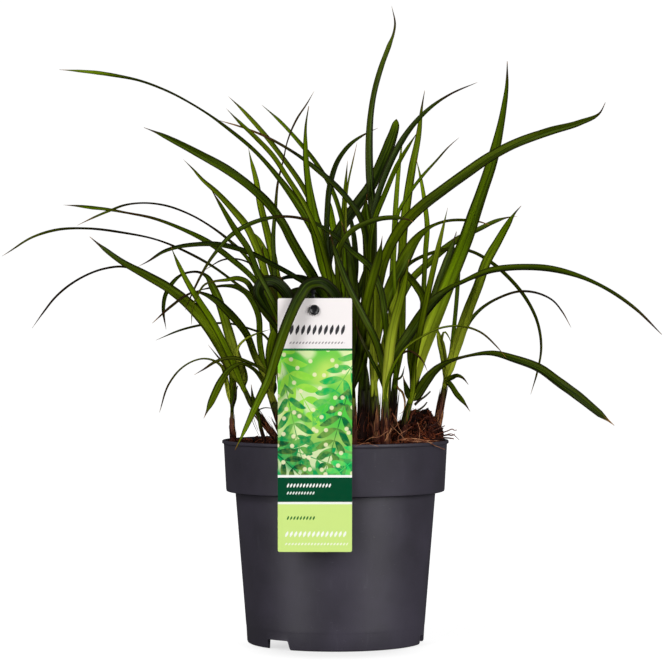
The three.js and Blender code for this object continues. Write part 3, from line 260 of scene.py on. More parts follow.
# %% Start of every finish
def finish_base(name, **sockets):
    """A material with one Principled shader, whose plain values are set on its own sockets."""
    material = bpy.data.materials.new(name)
    material.use_nodes = True
    tree = material.node_tree
    shader = tree.nodes["Principled BSDF"]
    for label, value in sockets.items():
        shader.inputs[label.replace("_", " ")].default_value = value
    return material, tree, shader


def relief(tree, shader, height, strength, distance):
    """Bump from a pattern, so deep in metres."""
    bump = add(tree, "ShaderNodeBump", Height=height, Strength=strength, Distance=distance)
    tree.links.new(bump.outputs[0], shader.inputs["Normal"])


# %% [markdown]
# ## The floor
#
# The floor is one wide sheet of white acrylic, lit from below as a studio table is, so that its glow
# hides the cast shadows. The shade right under the pot is a painted shadow in that glow, which fades in
# a ring round a spot a little in front of the pot. The floor is kept out of reflections and throws no
# light up, because the foot of a dark pot should stay dark.

# %% White floor
FLOOR_SIZE, FLOOR_DROP = 9, 0.0004
FLOOR_GREY, FLOOR_GLOW, FLOOR_PAINTED_SHADOW = 0.32, 0.9, 0.24
# how far in front of the pot's axis the painted shadow has its middle, where it starts to fade and where it
# ends
SHADE_FORWARD, SHADE_FULL, SHADE_END, SHADE_POWER = 0.05, 0.046, 0.11, 1.6
deselect()
bpy.ops.mesh.primitive_plane_add(size=FLOOR_SIZE, location=(0, 0, -FLOOR_DROP))
floor = bpy.context.object
floor.name = "white_floor"
bpy.ops.object.transform_apply(location=True, rotation=True, scale=True)
floor_paint, tree, paint = finish_base("white_acrylic", Roughness=0.95, Specular_IOR_Level=0.05)
paint.inputs["Base Color"].default_value = (FLOOR_GREY, FLOOR_GREY, FLOOR_GREY, 1)
paint.inputs["Emission Color"].default_value = (1, 1, 1, 1)
# painted shadow: the floor's glow is turned down round a spot in front of the pot
spot = add(tree, "ShaderNodeVectorMath", {"operation": "SUBTRACT"})
tree.links.new(object_place(tree), spot.inputs[0])
spot.inputs[1].default_value = (0, -SHADE_FORWARD, 0)
reach = add(tree, "ShaderNodeVectorMath", {"operation": "LENGTH"}, Vector=spot.outputs[0]).outputs["Value"]
fade = add(tree, "ShaderNodeMapRange", Value=reach, From_Min=SHADE_FULL, From_Max=SHADE_END).outputs[0]
shade = maths(tree, "POWER", minus(tree, 1.0, fade, True), SHADE_POWER)
tree.links.new(minus(tree, FLOOR_GLOW, times(tree, shade, FLOOR_PAINTED_SHADOW)), paint.inputs["Emission Strength"])
floor.data.materials.append(floor_paint)
floor.visible_glossy = floor.visible_diffuse = False

# %% [markdown]
# ## How a blade is drawn
#
# A sedge blade leaves its shoot, climbs, and bends over under its own weight. It is drawn the way a
# botanist draws it: as an elevation, with points that give x, z and the width that shows. A depth then
# slides every point along the line of sight, so the clump gets its body and the drawing stays true.
# Where two blades cover each other in the drawing they are pushed apart in depth, a little at a time,
# until they clear each other. The table is the same one that the solids are made from.

# %% Shoots and blades
SHOOTS = {
    "s01": dict(y=-14, r=1.8, sheath=192, stem=[-86.3, 172, -87, 186, -87, 197]),
    "s02": dict(y=-54, r=2.6, sheath=198, stem=[-49, 170, -60, 184, -71, 200, -78, 215]),
    "s03": dict(y=-62, r=1.7, sheath=178, stem=[-60, 170, -63, 180, -65, 190]),
    "s04": dict(y=-24, r=3.8, sheath=190, stem=[-42, 170, -48, 188, -54.5, 208]),
    "s05": dict(y=-58, r=3.0, sheath=198, stem=[-24, 170, -27, 192, -31, 214]),
    "s06": dict(y=8, r=3.0, sheath=200, stem=[-22, 170, -25, 192, -30, 216]),
    "s07": dict(y=-32, r=3.2, sheath=202, stem=[0, 170, 1, 195, 2, 218]),
    "s08": dict(y=34, r=3.2, sheath=202, stem=[-2, 170, -2, 195, -3, 220]),
    "s09": dict(y=-66, r=3.2, sheath=198, stem=[14, 170, 14, 192, 14, 212]),
    "s10": dict(y=-2, r=3.8, sheath=204, stem=[21.5, 170, 22, 195, 22.5, 220]),
    "s11": dict(y=-42, r=4.0, sheath=204, stem=[33, 170, 33, 192, 32.5, 214]),
    "s12": dict(y=-68, r=3.2, sheath=197, stem=[42, 170, 42, 190, 42, 208]),
    "s13": dict(y=-12, r=3.0, sheath=206, stem=[48, 178, 49, 198, 50.5, 220]),
    "s14": dict(y=-46, r=3.0, sheath=193, stem=[57, 180, 60, 192, 63.5, 204]),
    "s15": dict(y=-8, r=2.6, sheath=212, stem=[86, 182, 89, 200, 93, 220]),
    "s16": dict(y=46, r=3.0, sheath=200, stem=[-40, 170, -43, 192, -46, 214]),
    "s17": dict(y=66, r=3.6, sheath=206, stem=[28, 170, 27.5, 196, 26, 220]),
    "s18": dict(y=36, r=3.0, sheath=208, stem=[42, 176, 43, 198, 45, 222]),
}

# name, shoot, full width, depth of the tip or depths at even steps, [x, z, shown width, ...], power
BLADES = [
    ("a", "s02", 10.5, -84, [-85, 226, 8, -95, 246, 10, -106, 264, 10, -120, 281, 10, -140, 297.5, 7.5,
     -160, 309, 6.5, -180, 320, 5, -195, 331, 3.5, -207, 341, 1]),
    ("b", "s02", 6.5, -120, [-84, 230, 5.5, -90, 243, 5.5, -104, 270, 5.5, -115.8, 288, 5, -124.6, 302.5,
     4.2, -133.3, 320, 3.3, -139, 333.5, 1]),
    ("c", "s02", 8.5, -20, [-79, 221, 7.5, -82.5, 234, 8, -90, 260, 8, -95.7, 280, 7.5, -99.3, 290, 7, -104,
     300, 6, -108.5, 307.5, 3, -115.8, 311.3, 1.2, -124, 311, 1.2, -130, 308.8, 2.2, -137, 302.5, 3.7,
     -143.3, 291.7, 3.5, -145, 280, 3, -142.7, 263, 1.5]),
    ("d", "s04", 7.5, -120, [-60, 225, 5, -67.5, 240, 5.5, -75.5, 260, 6, -84, 271, 6.5, -91.7, 279, 6.5,
     -103.3, 289, 4.5, -112, 293.2, 2.5, -118, 294.6, 1.5, -125, 292, 2, -138.3, 282.5, 2.5, -154.2, 268.3,
     1]),
    ("e1", "s05", 5.5, -100, [-40, 244, 4.5, -50, 264.5, 4.5, -61.7, 280, 4.5, -70, 296, 4.5, -75, 303.2,
     4.5, -83, 306, 4, -91.7, 304.6, 3, -102, 303.4, 1.8, -110, 300.8, 1.5, -116, 292, 1.4, -120.4, 281,
     1.4, -121.3, 267, 1]),
    ("e2", "s04", 5.5, 50, [-61, 235, 5, -63.5, 250, 5, -65.5, 277, 5, -70, 287, 5, -76, 294.5, 4.5, -83.3,
     298.5, 4, -95, 299.6, 2.4, -105, 298, 1.8, -119, 295, 1]),
    ("f", "s04", 7.5, -58, [-53, 222, 6, -55.5, 240, 7, -53, 256, 6.5, -48, 268, 5, -40, 277, 1.5]),
    ("g", "s05", 10.5, -88, [-33, 245, 7, -36, 276, 9, -43, 296, 10, -53, 303.5, 10, -62, 302, 10, -65, 295,
     9.5, -61, 286, 8, -55, 277, 5, -48.5, 268, 1.5]),
    ("h", "s12", 6, -92, [44, 240, 5, 42, 270, 5.5, 37, 300, 5.5, 29, 316, 5.5, 15, 328, 5, 0, 341.5, 4,
     -22, 354.5, 2.5, -40, 358, 1.8, -65, 354.5, 3.7, -85, 344.5, 3.7, -102, 326.5, 2.8, -119, 297, 1.8,
     -126.7, 279, 1]),
    ("i", "s04", 4, 24, [-52, 246, 2, -61, 258.8, 1.7, -71.7, 263.3, 1.7, -90, 268, 1.7, -112.5, 266.7, 1.7,
     -130, 262.5, 1.7, -151.3, 253.8, 1]),
    ("j", "s02", 3, -74, [-82.5, 238, 2.5, -81.7, 248.5, 2.5, -76.7, 254, 2, -69, 258.3, 1.5, -55, 263,
     1]),
    ("k", "s07", 5.5, -34, [4, 240, 5, -2, 265, 5, -10, 285, 4.5, -20, 298, 4, -36, 308.5, 4, -55, 319, 4,
     -70, 326.7, 4, -83.3, 331.3, 4, -98.3, 334.6, 4, -116.7, 334.6, 3.7, -132.5, 332.5, 3.5, -144.2, 328.8,
     3.2, -158.3, 320, 2, -166.3, 315.8, 1]),
    ("l", "s06", 3.5, 50, [-42, 265, 2, -56, 301, 1.6, -68, 316, 1.4, -76.8, 320.8, 1.3, -86.7, 322.5, 1.3,
     -94.2, 321.7, 1.3, -106.7, 315, 1.2, -111.7, 311.7, 1]),
    ("m", "s06", 5, 30, [-45, 255, 4, -65, 287, 3, -83.3, 301.3, 2.5, -103, 315.8, 2.2, -125, 328, 1.8,
     -150, 338.3, 1.5, -180, 344.6, 1.6, -210, 348, 1.8, -235, 346.8, 2.4, -255, 340.7, 2.3, -275, 328.3,
     1.6, -281, 324.5, 1]),
    ("m2", "s02", 4.5, 30, [-86, 229, 3, -96, 247, 3, -108, 265, 3, -121, 281, 2.5, -140, 297, 2, -158, 309,
     1.7, -170, 314, 1.6, -180, 315.8, 1.5, -195, 314, 1.7, -215, 306, 1.7, -235, 291, 1.7, -247, 276, 1.5,
     -255.5, 264, 1]),
    ("n", "s06", 6, -50, [-40, 250, 5, -55, 285, 5, -70, 306.7, 4.5, -88, 322.5, 4.5, -106.7, 336.3, 4.5,
     -128, 347, 3.3, -155, 357, 2, -175, 361, 1.6, -193, 364.2, 2.8, -205, 365.5, 3.3, -218, 367, 2.5, -229,
     367.7, 1]),
    ("o", "s16", 4.5, 110, [-48, 250, 4, -60, 290, 3.2, -75, 324, 3, -88, 336.7, 2.5, -103, 348.3, 1.8,
     -123, 360, 1.4, -145, 367.7, 1.3, -165, 369.3, 1.3, -178, 367.5, 1.8, -190, 363, 2.5, -204, 357, 2,
     -217.5, 350.5, 1]),
    ("p1", "s06", 7, 120, [-44, 270, 6, -53, 292, 6, -58.5, 306, 6, -62, 320, 6, -66.5, 332, 6, -75, 350, 6,
     -86.7, 364.2, 5, -101.7, 380, 4, -112, 389, 3, -120, 398, 2, -128, 406, 1]),
    ("p2", "s05", 5.5, -130, [-38, 250, 4, -54, 290, 4, -65.5, 312, 4.5, -73.5, 330.8, 5, -83.2, 345, 5.5,
     -97, 368, 3.2, -106, 383, 1]),
    ("q", "s07", 7.5, 36, [2, 250, 6, -4, 300, 7, -16, 341, 7, -30, 365.8, 6.5, -48, 390.8, 4, -68, 413.3,
     3.3, -90, 431.7, 2.5, -116.7, 450.4, 1.6, -145, 465.2, 1.4, -165, 472.5, 2, -185, 476.7, 3, -200, 479,
     3.5, -217, 480.6, 2.5, -232.5, 481.7, 1]),
    ("r", "s07", 9, -140, [0, 260, 6, -8, 288, 7, -16, 302, 8, -21.5, 312, 8.5, -26.7, 320, 8.5, -32.5, 330,
     8, -38, 340, 7.8, -43, 350, 7, -49.5, 360, 7, -57.5, 370, 7, -68, 380, 7, -90, 396.7, 7.5, -115, 410.8,
     6.5, -135, 421.3, 5, -150, 428.5, 3, -161.3, 433, 1]),
    ("kb", "s06", 8, 14, [-33, 250, 6, -36, 270, 8, -39, 288, 8, -43, 300, 6, -47, 309, 1.6]),
    ("t", "s06", 7, 150, [-38, 260, 6, -48, 300, 6.5, -53.3, 326.7, 6.5, -58.3, 348, 6, -63.3, 368.3, 5.5,
     -66.7, 388.3, 4.5, -71.7, 408.3, 2.5, -73.3, 416.3, 1]),
    ("u", "s16", 4.5, 60, [-50, 260, 4, -51.7, 322, 3.5, -52.3, 340, 3.5, -50.5, 365, 3, -48.3, 387.5, 1.5,
     -44, 405, 0.9, -40.5, 421, 1, -32, 441, 1.7, -24, 453, 1.6, -18, 463.4, 1]),
    ("x1", "s08", 6, 140, [-2, 290, 4, -10, 340, 4, -26.7, 381.7, 4, -45, 408.3, 4, -60, 427.5, 4, -71.7,
     440.8, 3.5, -82, 451.5, 2.5, -90, 459, 1]),
    ("x2", "s07", 6, -150, [-2, 290, 4, -14, 340, 4, -25.8, 367.5, 4, -40, 390, 4, -53.3, 410, 4, -65,
     422.5, 4, -81.7, 438.3, 3, -92, 449, 1]),
    ("z", "s08", 5.5, 100, [6, 290, 4, 8, 335, 3.5, 4, 361, 3.5, -3, 381, 3.5, -15.8, 402.5, 3.5, -30, 420,
     3.5, -46.7, 438.3, 3, -62, 452, 1]),
    ("aa", "s10", 6, -150, [24, 270, 5, 27, 330, 5, 21, 357, 5, 6, 378, 4.5, -16, 398, 4, -36.7, 413, 2.5,
     -57, 424.5, 2, -75, 432, 1.4, -98, 439, 1]),
    ("y", "s07", 11, -124, [6, 262, 8, 1, 293, 10, -8.3, 314, 11, -14.3, 339, 11, -18.7, 358, 9.5, -23.3,
     388, 5.5, -25.4, 418, 3.5, -25, 435, 1.8, -22.5, 451, 1]),
    ("bb", "s08", 6, 60, [-4, 260, 4.5, -5, 300, 4.5, -7, 360, 4.5, -3.8, 388, 4.5, 2.5, 405.8, 4, 12.4,
     418.7, 3.5, 26, 428, 2, 36, 432.6, 1]),
    ("cc1", "s10", 6, 120, [14, 265, 5, 10, 300, 5, 7, 336, 5, 7.5, 367, 4.5, 9.6, 397.5, 2, 10.3, 405,
     1]),
    ("cc2", "s10", 3.5, -60, [17, 270, 3, 10, 330, 2, 8.6, 360, 1.8, 10.8, 386.7, 1.5, 14.2, 402.5, 1.2,
     18.3, 420.4, 1]),
    ("dd", "s08", 9.5, 160, [-8, 270, 8, -8, 305, 8, -4, 332, 8.5, 7, 352, 9, 19, 369, 9.5, 30, 384, 9.5,
     38.5, 402, 9.5, 46, 420, 9.5, 50.5, 434, 7, 51.5, 440, 4]),
    ("ee", "s10", 7, 60, [26, 260, 6, 31, 310, 6.5, 31, 367, 6.7, 28.9, 392.6, 6.7, 28.4, 418, 6, 29.7, 443,
     5, 32.7, 462.5, 4.5, 38.5, 483.6, 4.3, 45.3, 502, 4, 49, 512, 2, 50.2, 519, 2, 47.4, 535.4, 1]),
    ("ff", "s09", 5, -96, [12, 250, 4, 4, 290, 4, 2, 320, 4, 5, 335, 4, 13.3, 345.8, 4.6, 26.7, 353, 4.6,
     40, 356.6, 4.2, 52, 357, 3.8, 60, 355.8, 3, 66.4, 353.4, 1.2]),
    ("gg", "s12", 7, -92, [40.2, 228, 5, 36, 247.7, 6, 22.5, 276, 6, 9.9, 301.6, 6, -0.2, 329, 4, -5, 345,
     1.5]),
    ("gg2", "s12", 4, -80, [38, 222, 3, 30, 238, 3, 21.7, 255, 2.5, 15, 272, 1]),
    ("ll", "s09", 10, [-74, -81, -88.5, -99, -104.5, -108, -110.5, -112.5, -114.5, -116], [11, 230, 7, 5,
     275, 9, -3, 296, 9.5, -12, 302.5, 9.5, -22, 301, 10, -30, 291, 9.5, -37, 277, 9, -49, 245, 8.5, -57,
     220, 7.5, -66.5, 200, 6, -75.5, 180, 4, -84.7, 161, 1.2]),
    ("s1a", "s01", 5, -24, [-90, 208, 3.5, -92, 220, 4, -96, 232, 2.4, -103.3, 237, 1.7, -111, 238.3, 1.4,
     -120, 236.2, 1.3, -130, 230, 1.3, -140, 217.5, 1.2, -148.3, 193, 1]),
    ("s1c", "s01", 6, -18, [-86, 205, 6, -86.3, 216, 6, -88.5, 226, 4.5, -92, 234, 1]),
    ("s1d", "s01", 4, -30, [-86.5, 206, 3, -85.5, 215, 2.6, -82.5, 221, 2, -78.5, 218, 1]),
    ("s1b", "s01", 2.5, 8, [-91, 220, 1.6, -95, 235, 1.6, -100, 241, 1.3, -107.3, 250, 1]),
    ("v2", "s04", 4.5, -118, [-54, 220, 2.8, -60, 228, 2.8, -71.7, 234.6, 2.8, -85.8, 239, 2.8, -101.7,
     235.4, 2.5, -110, 230, 2, -119.2, 224.6, 1], 1),
    ("v3", "s04", 7, -132, [-57, 212, 5, -62.5, 222, 4, -70.5, 230.5, 3, -80, 234, 2.5, -88, 230.5, 3.5,
     -96, 220, 6, -101, 210, 6.5, -106, 199, 5.5, -111, 188, 1.5], 1),
    ("s3", "s03", 5, -74, [-66.4, 195, 4.5, -69, 202, 4, -71, 216.5, 1]),
    ("w", "s04", 8, 6, [-52.6, 214, 6.5, -55, 222, 5.5, -60, 240, 1.5]),
    ("ra", "s10", 6, 50, [29, 290, 5, 33, 366, 5, 43.6, 397, 5, 54.6, 419.6, 5, 67, 437, 4, 81.5, 451, 3,
     96.7, 461, 1.5, 119.5, 471, 1]),
    ("rb", "s11", 5.5, -130, [30, 280, 5, 33.5, 357, 4.5, 42, 378, 4, 52, 401, 4, 63, 419.6, 3, 69.7, 430,
     1.2]),
    ("rc", "s13", 8, 96, [54.6, 245, 6, 56, 300, 7, 57, 342, 7, 60.5, 371.5, 7, 64.7, 399, 6.5, 70, 426,
     4.5, 73, 451, 2, 75.2, 464, 1]),
    ("rd", "s18", 5, 90, [46, 260, 4, 49.5, 346, 4, 51.2, 371.5, 4, 53.3, 397, 3.5, 57, 425.5, 1]),
    ("re", "s14", 5.5, 60, [70, 240, 4, 74, 291.5, 4, 76, 329, 4, 77.3, 350.5, 4, 75.6, 367, 4, 72.3, 388,
     3, 68, 407, 1]),
    ("rf", "s13", 4, -70, [51, 270, 3.5, 50, 330, 3, 53.7, 363, 3, 61.3, 376, 3, 72.3, 391, 2.8, 84, 404,
     2.2, 96.7, 418, 1.4, 104.3, 424.6, 1]),
    ("rg", "s11", 10, -140, [34, 260, 7, 36, 300, 8, 44, 329, 8.5, 57, 351, 9, 69, 363.5, 9, 90, 380, 9,
     110, 394.5, 8.7, 130.4, 408.5, 8, 147, 417.5, 7.8, 181, 430, 7, 206, 437.2, 5, 223, 445.7, 2.5, 227.3,
     454, 1]),
    ("rh", "s14", 13, -66, [66, 214, 7, 67.3, 222, 7.5, 69.2, 230, 9, 72, 240, 10, 78.9, 260, 12, 86.5, 280,
     12.5, 94.3, 300, 12.3, 102.5, 320, 12, 110.2, 340, 11.5, 116.9, 360, 11, 123.8, 380, 10, 130.5, 400, 9,
     136.8, 424, 7, 141.4, 447, 5, 144.3, 468, 2.8, 144.7, 488.7, 1]),
    ("ri", "s15", 10, -80, [96, 230, 8, 103.4, 253.6, 9, 112, 279, 9, 120.3, 300, 8, 127.3, 320, 7.5, 136.3,
     336, 7, 144.3, 350, 5.5, 152, 362, 2.4, 156.5, 367, 1]),
    ("rj", "s12", 9, -76, [45, 228, 8, 52, 244, 8.5, 61.3, 258, 9, 75.6, 279, 9, 84, 288, 8, 96, 297.5, 4,
     109, 304, 3, 120, 309, 4, 130, 312.6, 5, 143, 314.7, 5.5, 160, 315.5, 5.3, 176.7, 314.7, 5, 202, 309,
     3.8, 227, 298, 3, 252.6, 280.5, 2.6, 275, 258.6, 1]),
    ("rk", "s13", 4.5, 60, [50, 285, 3, 61, 317, 3, 80, 327, 2.7, 96.7, 330.7, 2.5, 113.5, 329, 2.7, 130.4,
     320, 3, 147, 305.6, 3, 160.5, 289, 3, 170.3, 268.7, 2.5, 173.4, 247, 2.2, 170, 226.6, 2, 164.5, 208,
     1]),
    ("rl", "s15", 4, 40, [98.4, 235, 3.5, 103.4, 245, 3.5, 107.6, 258, 3.5, 112, 268, 3.5, 122, 279.7, 2.8,
     138.8, 290, 2.2, 155.7, 295, 1.8, 172.5, 292.8, 1.5, 183.5, 287, 1.3, 191, 278, 1.2, 198.6, 264.5,
     1]),
    ("rm", "s12", 3, -112, [47, 228, 3, 52.9, 239, 2.4, 59.6, 247.7, 2, 71.4, 256, 1.8, 88, 264, 1.7, 105,
     265.8, 1.6, 122, 260.7, 1.6, 135.4, 249, 1.5, 144, 239, 1]),
    ("rn", "s14", 9, -112, [67.5, 206.5, 8.5, 72.5, 214, 9, 78, 222, 8.5, 84, 228.5, 6.5, 90, 233, 4, 97,
     236.3, 2.8, 111, 240.5, 2.5, 132, 243, 4, 151.5, 238, 6, 172.5, 230, 7.5, 187.7, 219, 8, 204.5, 206.7,
     8, 223, 191.6, 6, 232, 184.5, 3, 235, 182, 1.2]),
    ("ro", "s12", 3, -90, [48, 232, 2.5, 52.9, 240, 2, 61.3, 244.7, 2, 72.3, 238, 1.8, 78, 226.6, 1]),
    ("rp", "s15", 7, 16, [92, 233, 5, 90, 246, 6, 87, 258, 6, 85.7, 266, 1.5]),
    ("rq", "s15", 3, -20, [92.5, 240, 1.5, 90, 257, 2, 91.6, 261, 2.4, 95.8, 256, 2, 97.5, 251, 1]),
    ("rr", "s15", 4, 70, [97, 240, 3.5, 100.5, 270, 3.5, 103, 300, 3.5, 104, 325, 2.5, 102, 345, 1]),
    ("rs", "s18", 7, 110, [50, 260, 6, 57, 293, 6, 65.5, 306.6, 6, 78, 318.5, 6, 90.8, 330, 5.5, 106, 340.5,
     5, 122, 348, 4, 134.6, 354, 3.5, 147, 357.5, 2, 153, 358, 1]),
    ("rx", "s14", 8, -10, [67, 226, 6, 73, 252, 7, 80, 278, 8, 87, 300, 8, 94, 320, 7, 99, 335, 4, 102, 346,
     1.2]),
    ("rt", "s11", 11, 6, [31.8, 228, 6, 33.5, 253.6, 8.5, 39.4, 279, 9.5, 47.8, 301, 10.5, 54, 313.5, 11,
     59.5, 324.5, 10.5, 65, 334.5, 8.5, 71, 342, 6, 80, 349.2, 3, 92.5, 354, 2.3, 109, 355, 2.2, 123.7, 353,
     1.8, 129.5, 351, 1]),
    ("ru", "s14", 6, -120, [67, 237, 4, 71.4, 262, 5, 76.5, 287, 5, 80.7, 306, 4.8, 85.7, 327.7, 4.5, 90,
     346, 3, 94.6, 365.6, 1]),
    ("rv", "s14", 7, 4, [65, 225, 5, 63.5, 240, 6, 65, 255, 7, 71, 268, 7, 75, 279, 6.5, 73.5, 290, 6, 67,
     301, 6, 58.8, 311, 5, 51, 319, 3, 44.4, 324, 1.2]),
    ("ja", "s12", 9, -100, [42.5, 220, 6, 44.7, 237, 8.5, 46, 249, 8.5, 50, 270, 7.5, 54, 284, 7, 57, 296,
     6, 60, 310, 3, 62, 322, 1.2]),
    ("jb", "s11", 5, -96, [38, 232, 4, 41, 253, 4, 44.5, 266, 4, 47, 279, 4, 51, 291, 3.5, 54, 306, 1.2]),
    ("s5a", "s15", 5, -36, [98.4, 222.5, 4, 102.6, 224, 4, 106.8, 222.4, 3, 112, 216.5, 1]),
    ("s5b", "s15", 5.5, -24, [98, 215, 4, 101.8, 209, 4.5, 106.8, 203, 4.5, 110, 199, 3, 113.5, 193.7, 1]),
    ("sp", "s13", 3, -28, [54.6, 222, 2.4, 58.4, 232, 1]),
    ("sq", "s14", 6, -62, [61, 209, 6, 59.5, 214, 6, 58, 219, 3, 57, 224, 1.2]),
    ("sr", "s13", 2.2, -26, [53, 213, 2, 55.6, 211, 2, 57.8, 206, 1.8, 58.5, 199, 1.6, 57, 193.5, 1.4, 53.5,
     191.5, 1]),
    ("cc", "s09", 9.5, -70, [15, 230, 7, 16, 255, 9, 16, 290, 9, 13, 318, 7, 9, 340, 4, 5, 354, 1.4]),
    ("ce", "s09", 7, -78, [18, 222, 5, 24, 240, 6, 28, 262, 6, 30, 284, 4, 31, 300, 1.4]),
    ("ca", "s09", 8, -88, [20, 240, 7, 25, 280, 8, 31, 305, 8, 36, 322, 7, 38.5, 334, 3, 39.5, 342, 1.4]),
    ("cd", "s10", 9, -34, [23, 236, 8, 26, 262, 9, 29, 290, 8, 27, 316, 5, 24, 336, 1.4]),
    ("cb", "s10", 10, -60, [22, 250, 6, 25, 285, 7.5, 28, 315, 9, 28, 335, 10, 27, 350, 10, 25.5, 362, 8,
     26, 371, 3.5, 26.5, 377, 1.4]),
    ("fa", "s17", 8, 190, [8, 260, 7, 4, 310, 7, -2, 350, 6, -6, 372, 4, -8, 380, 1.2]),
    ("fb", "s17", 7, 210, [14, 260, 6, 22, 300, 6, 34, 322, 5, 44, 326, 4, 52, 318, 1.2]),
    ("fc", "s17", 6, 175, [4, 250, 5, -10, 290, 5, -26, 306, 4, -44, 306, 3, -60, 290, 1]),
    ("fd", "s17", 6, 150, [14, 270, 5, 17, 320, 5, 15, 345, 4, 11, 362, 2.6, 5, 374, 1]),
    ("fe", "s16", 7, 170, [-46, 260, 5, -50, 300, 5, -58, 326, 5, -66, 340, 4, -76, 350, 1]),
    ("ff2", "s16", 6, 140, [-50, 240, 4, -54, 270, 4, -57, 298, 3.6, -60, 320, 2.6, -62, 336, 1]),
    ("fg", "s18", 7, 180, [48, 260, 6, 52, 300, 6, 55, 325, 5, 56, 342, 3.6, 57, 352, 1]),
    ("fh", "s18", 6, 140, [48, 250, 5, 51, 275, 5, 55, 300, 4, 58, 318, 2.4, 59, 330, 1]),
    ("fi", "s08", 9, 180, [-4, 270, 8, -7, 300, 8.5, -8, 325, 7.5, -8, 340, 5, -7, 352, 1.4]),
]

# pairs where the first blade passes on the near side of the second
IN_FRONT = [
    ("ll", "g"), ("g", "t"), ("g", "u"), ("d", "c"), ("b", "a"), ("h", "t"), ("h", "u"), ("r", "t"),
    ("r", "u"), ("rg", "rh"), ("rg", "rc"), ("rg", "re"), ("rg", "rd"), ("rj", "ri"), ("rj", "rh"),
    ("rm", "rh"), ("rm", "ri"), ("rn", "ri"), ("rh", "rk"), ("ri", "rk"), ("rj", "rk"), ("ru", "rs"),
    ("ru", "rk"), ("ff", "rd"), ("ff", "rc"), ("rf", "rc"), ("rf", "re"), ("rh", "rt"), ("rh", "rs"),
    ("rn", "rk"), ("ff", "rg"), ("y", "q"), ("y", "x1"), ("r", "q"),
]

# %% Drawing rules, in millimetres
EYE_DISTANCE, EYE_HEIGHT = 2300, 270
EYE = np.array([0.0, -EYE_DISTANCE, EYE_HEIGHT])
# how far apart sister blades start, as a share of the stem's radius; the gap round a stem or a pin
NEST = 0.8
GAP = 0.3
SHEATH_WALL = 1.1
BLADE_THICKNESS = 0.62
BLADE_FOLD = 0.24
SAMPLE_STEP = 6
FINE_STEP = 2.2
SUBSTEPS = 12
DEPTH_POWER = 1.6
# a blade is stiff up to the first distance from its foot, and bends freely from the second on
FREE_FROM, FREE_FULL = 14, 60
CLEARANCE = 1.7
CONTACT_SLACK = 2.6
SETTLE_ROUNDS = 260


def smooth_path(triples, step):
    """Even samples of x, z and width along a smooth curve through the drawn points."""
    p = np.array(triples, float).reshape(-1, 3)
    chord = np.hypot(*np.diff(p[:, :2], axis=0).T)
    slope = np.empty((len(p), 2))
    slope[0] = (p[1, :2] - p[0, :2]) / chord[0]
    slope[-1] = (p[-1, :2] - p[-2, :2]) / chord[-1]
    for k in range(1, len(p) - 1):
        before, after = chord[k - 1], chord[k]
        slope[k] = (after * (p[k, :2] - p[k - 1, :2]) / before
                    + before * (p[k + 1, :2] - p[k, :2]) / after) / (before + after)
    fine = [p[0]]
    for k, c in enumerate(chord):
        for n in range(1, SUBSTEPS + 1):
            u = n / SUBSTEPS
            h = ((1 + 2 * u) * (1 - u) ** 2, u * (1 - u) ** 2, u * u * (3 - 2 * u), u * u * (u - 1))
            xz = h[0] * p[k, :2] + h[1] * c * slope[k] + h[2] * p[k + 1, :2] + h[3] * c * slope[k + 1]
            fine.append(np.array([*xz, p[k, 2] + u * (p[k + 1, 2] - p[k, 2])]))
    fine = np.array(fine)
    run = np.concatenate([[0], np.cumsum(np.hypot(*np.diff(fine[:, :2], axis=0).T))])
    count = max(4, int(run[-1] / step + 0.5))
    at = np.linspace(0, run[-1], count + 1)
    return np.column_stack([np.interp(at, run, fine[:, c]) for c in range(3)]), run[-1]


def along_sight(x, z, y):
    """Where a drawn point lies in space once it is slid along the line of sight to a depth."""
    scale = 1 + y / EYE_DISTANCE
    return np.column_stack([x * scale, y, EYE_HEIGHT + (z - EYE_HEIGHT) * scale])


def depth_along(foot, depths, power, along):
    """Depths from foot to tip: along a power curve to one depth, or through several at even steps."""
    if not isinstance(depths, list):
        return foot + (depths - foot) * along ** power
    return np.interp(along, np.linspace(0, 1, len(depths) + 1), [foot] + depths)


def last_depth(depths):
    return depths[-1] if isinstance(depths, list) else depths


def drawn_line(shoot, full, triples):
    """The blade's points from its foot inside the shoot to its tip."""
    top, low = shoot["stem"][-2:], shoot["stem"][-4:-2]
    root = shoot["r"] * 1.5
    foot = [top[0] + (low[0] - top[0]) * 0.35, top[1] + (low[1] - top[1]) * 0.35, min(root, full * 0.8)]
    return [*foot, top[0], top[1], min(root, full * 0.9), *triples]


def real_width(full, along, shown):
    """The blade's own width, which tapers to both ends and is never less than what shows."""
    taper = np.minimum(1, np.minimum(0.4 + 2.4 * along, 0.14 + 3.2 * (1 - along)))
    return np.maximum(shown, full * taper)


def elevation_blade(name, shoot_name, full, depths, triples, power=DEPTH_POWER):
    """One row of the table, sampled. Blades of a shoot start side by side, in the order of their tips."""
    shoot = SHOOTS[shoot_name]
    line = drawn_line(shoot, full, triples)
    samples, total = smooth_path(line, SAMPLE_STEP)
    sisters = sorted(last_depth(b[3]) for b in BLADES if b[1] == shoot_name)
    tip = last_depth(depths)
    rank = sisters.index(tip) / (len(sisters) - 1) - 0.5 if len(sisters) > 1 else 0
    foot_depth = shoot["y"] + rank * 2 * NEST * shoot["r"]
    along = np.linspace(0, 1, len(samples))
    width = real_width(full, along, samples[:, 2])
    lean = np.sign(samples[0, 0] - samples[-1, 0]) or 1
    return dict(
        name=name, shoot=shoot_name, full=full, still=False, line=line,
        x=samples[:, 0], z=samples[:, 1], half=samples[:, 2] / 2, width=width,
        sine=np.minimum(1, samples[:, 2] / width), y=depth_along(foot_depth, depths, power, along),
        free=np.clip((along * total - FREE_FROM) / (FREE_FULL - FREE_FROM), 0, 1),
        side=lean * (np.sign(shoot["y"] - tip) or 1))


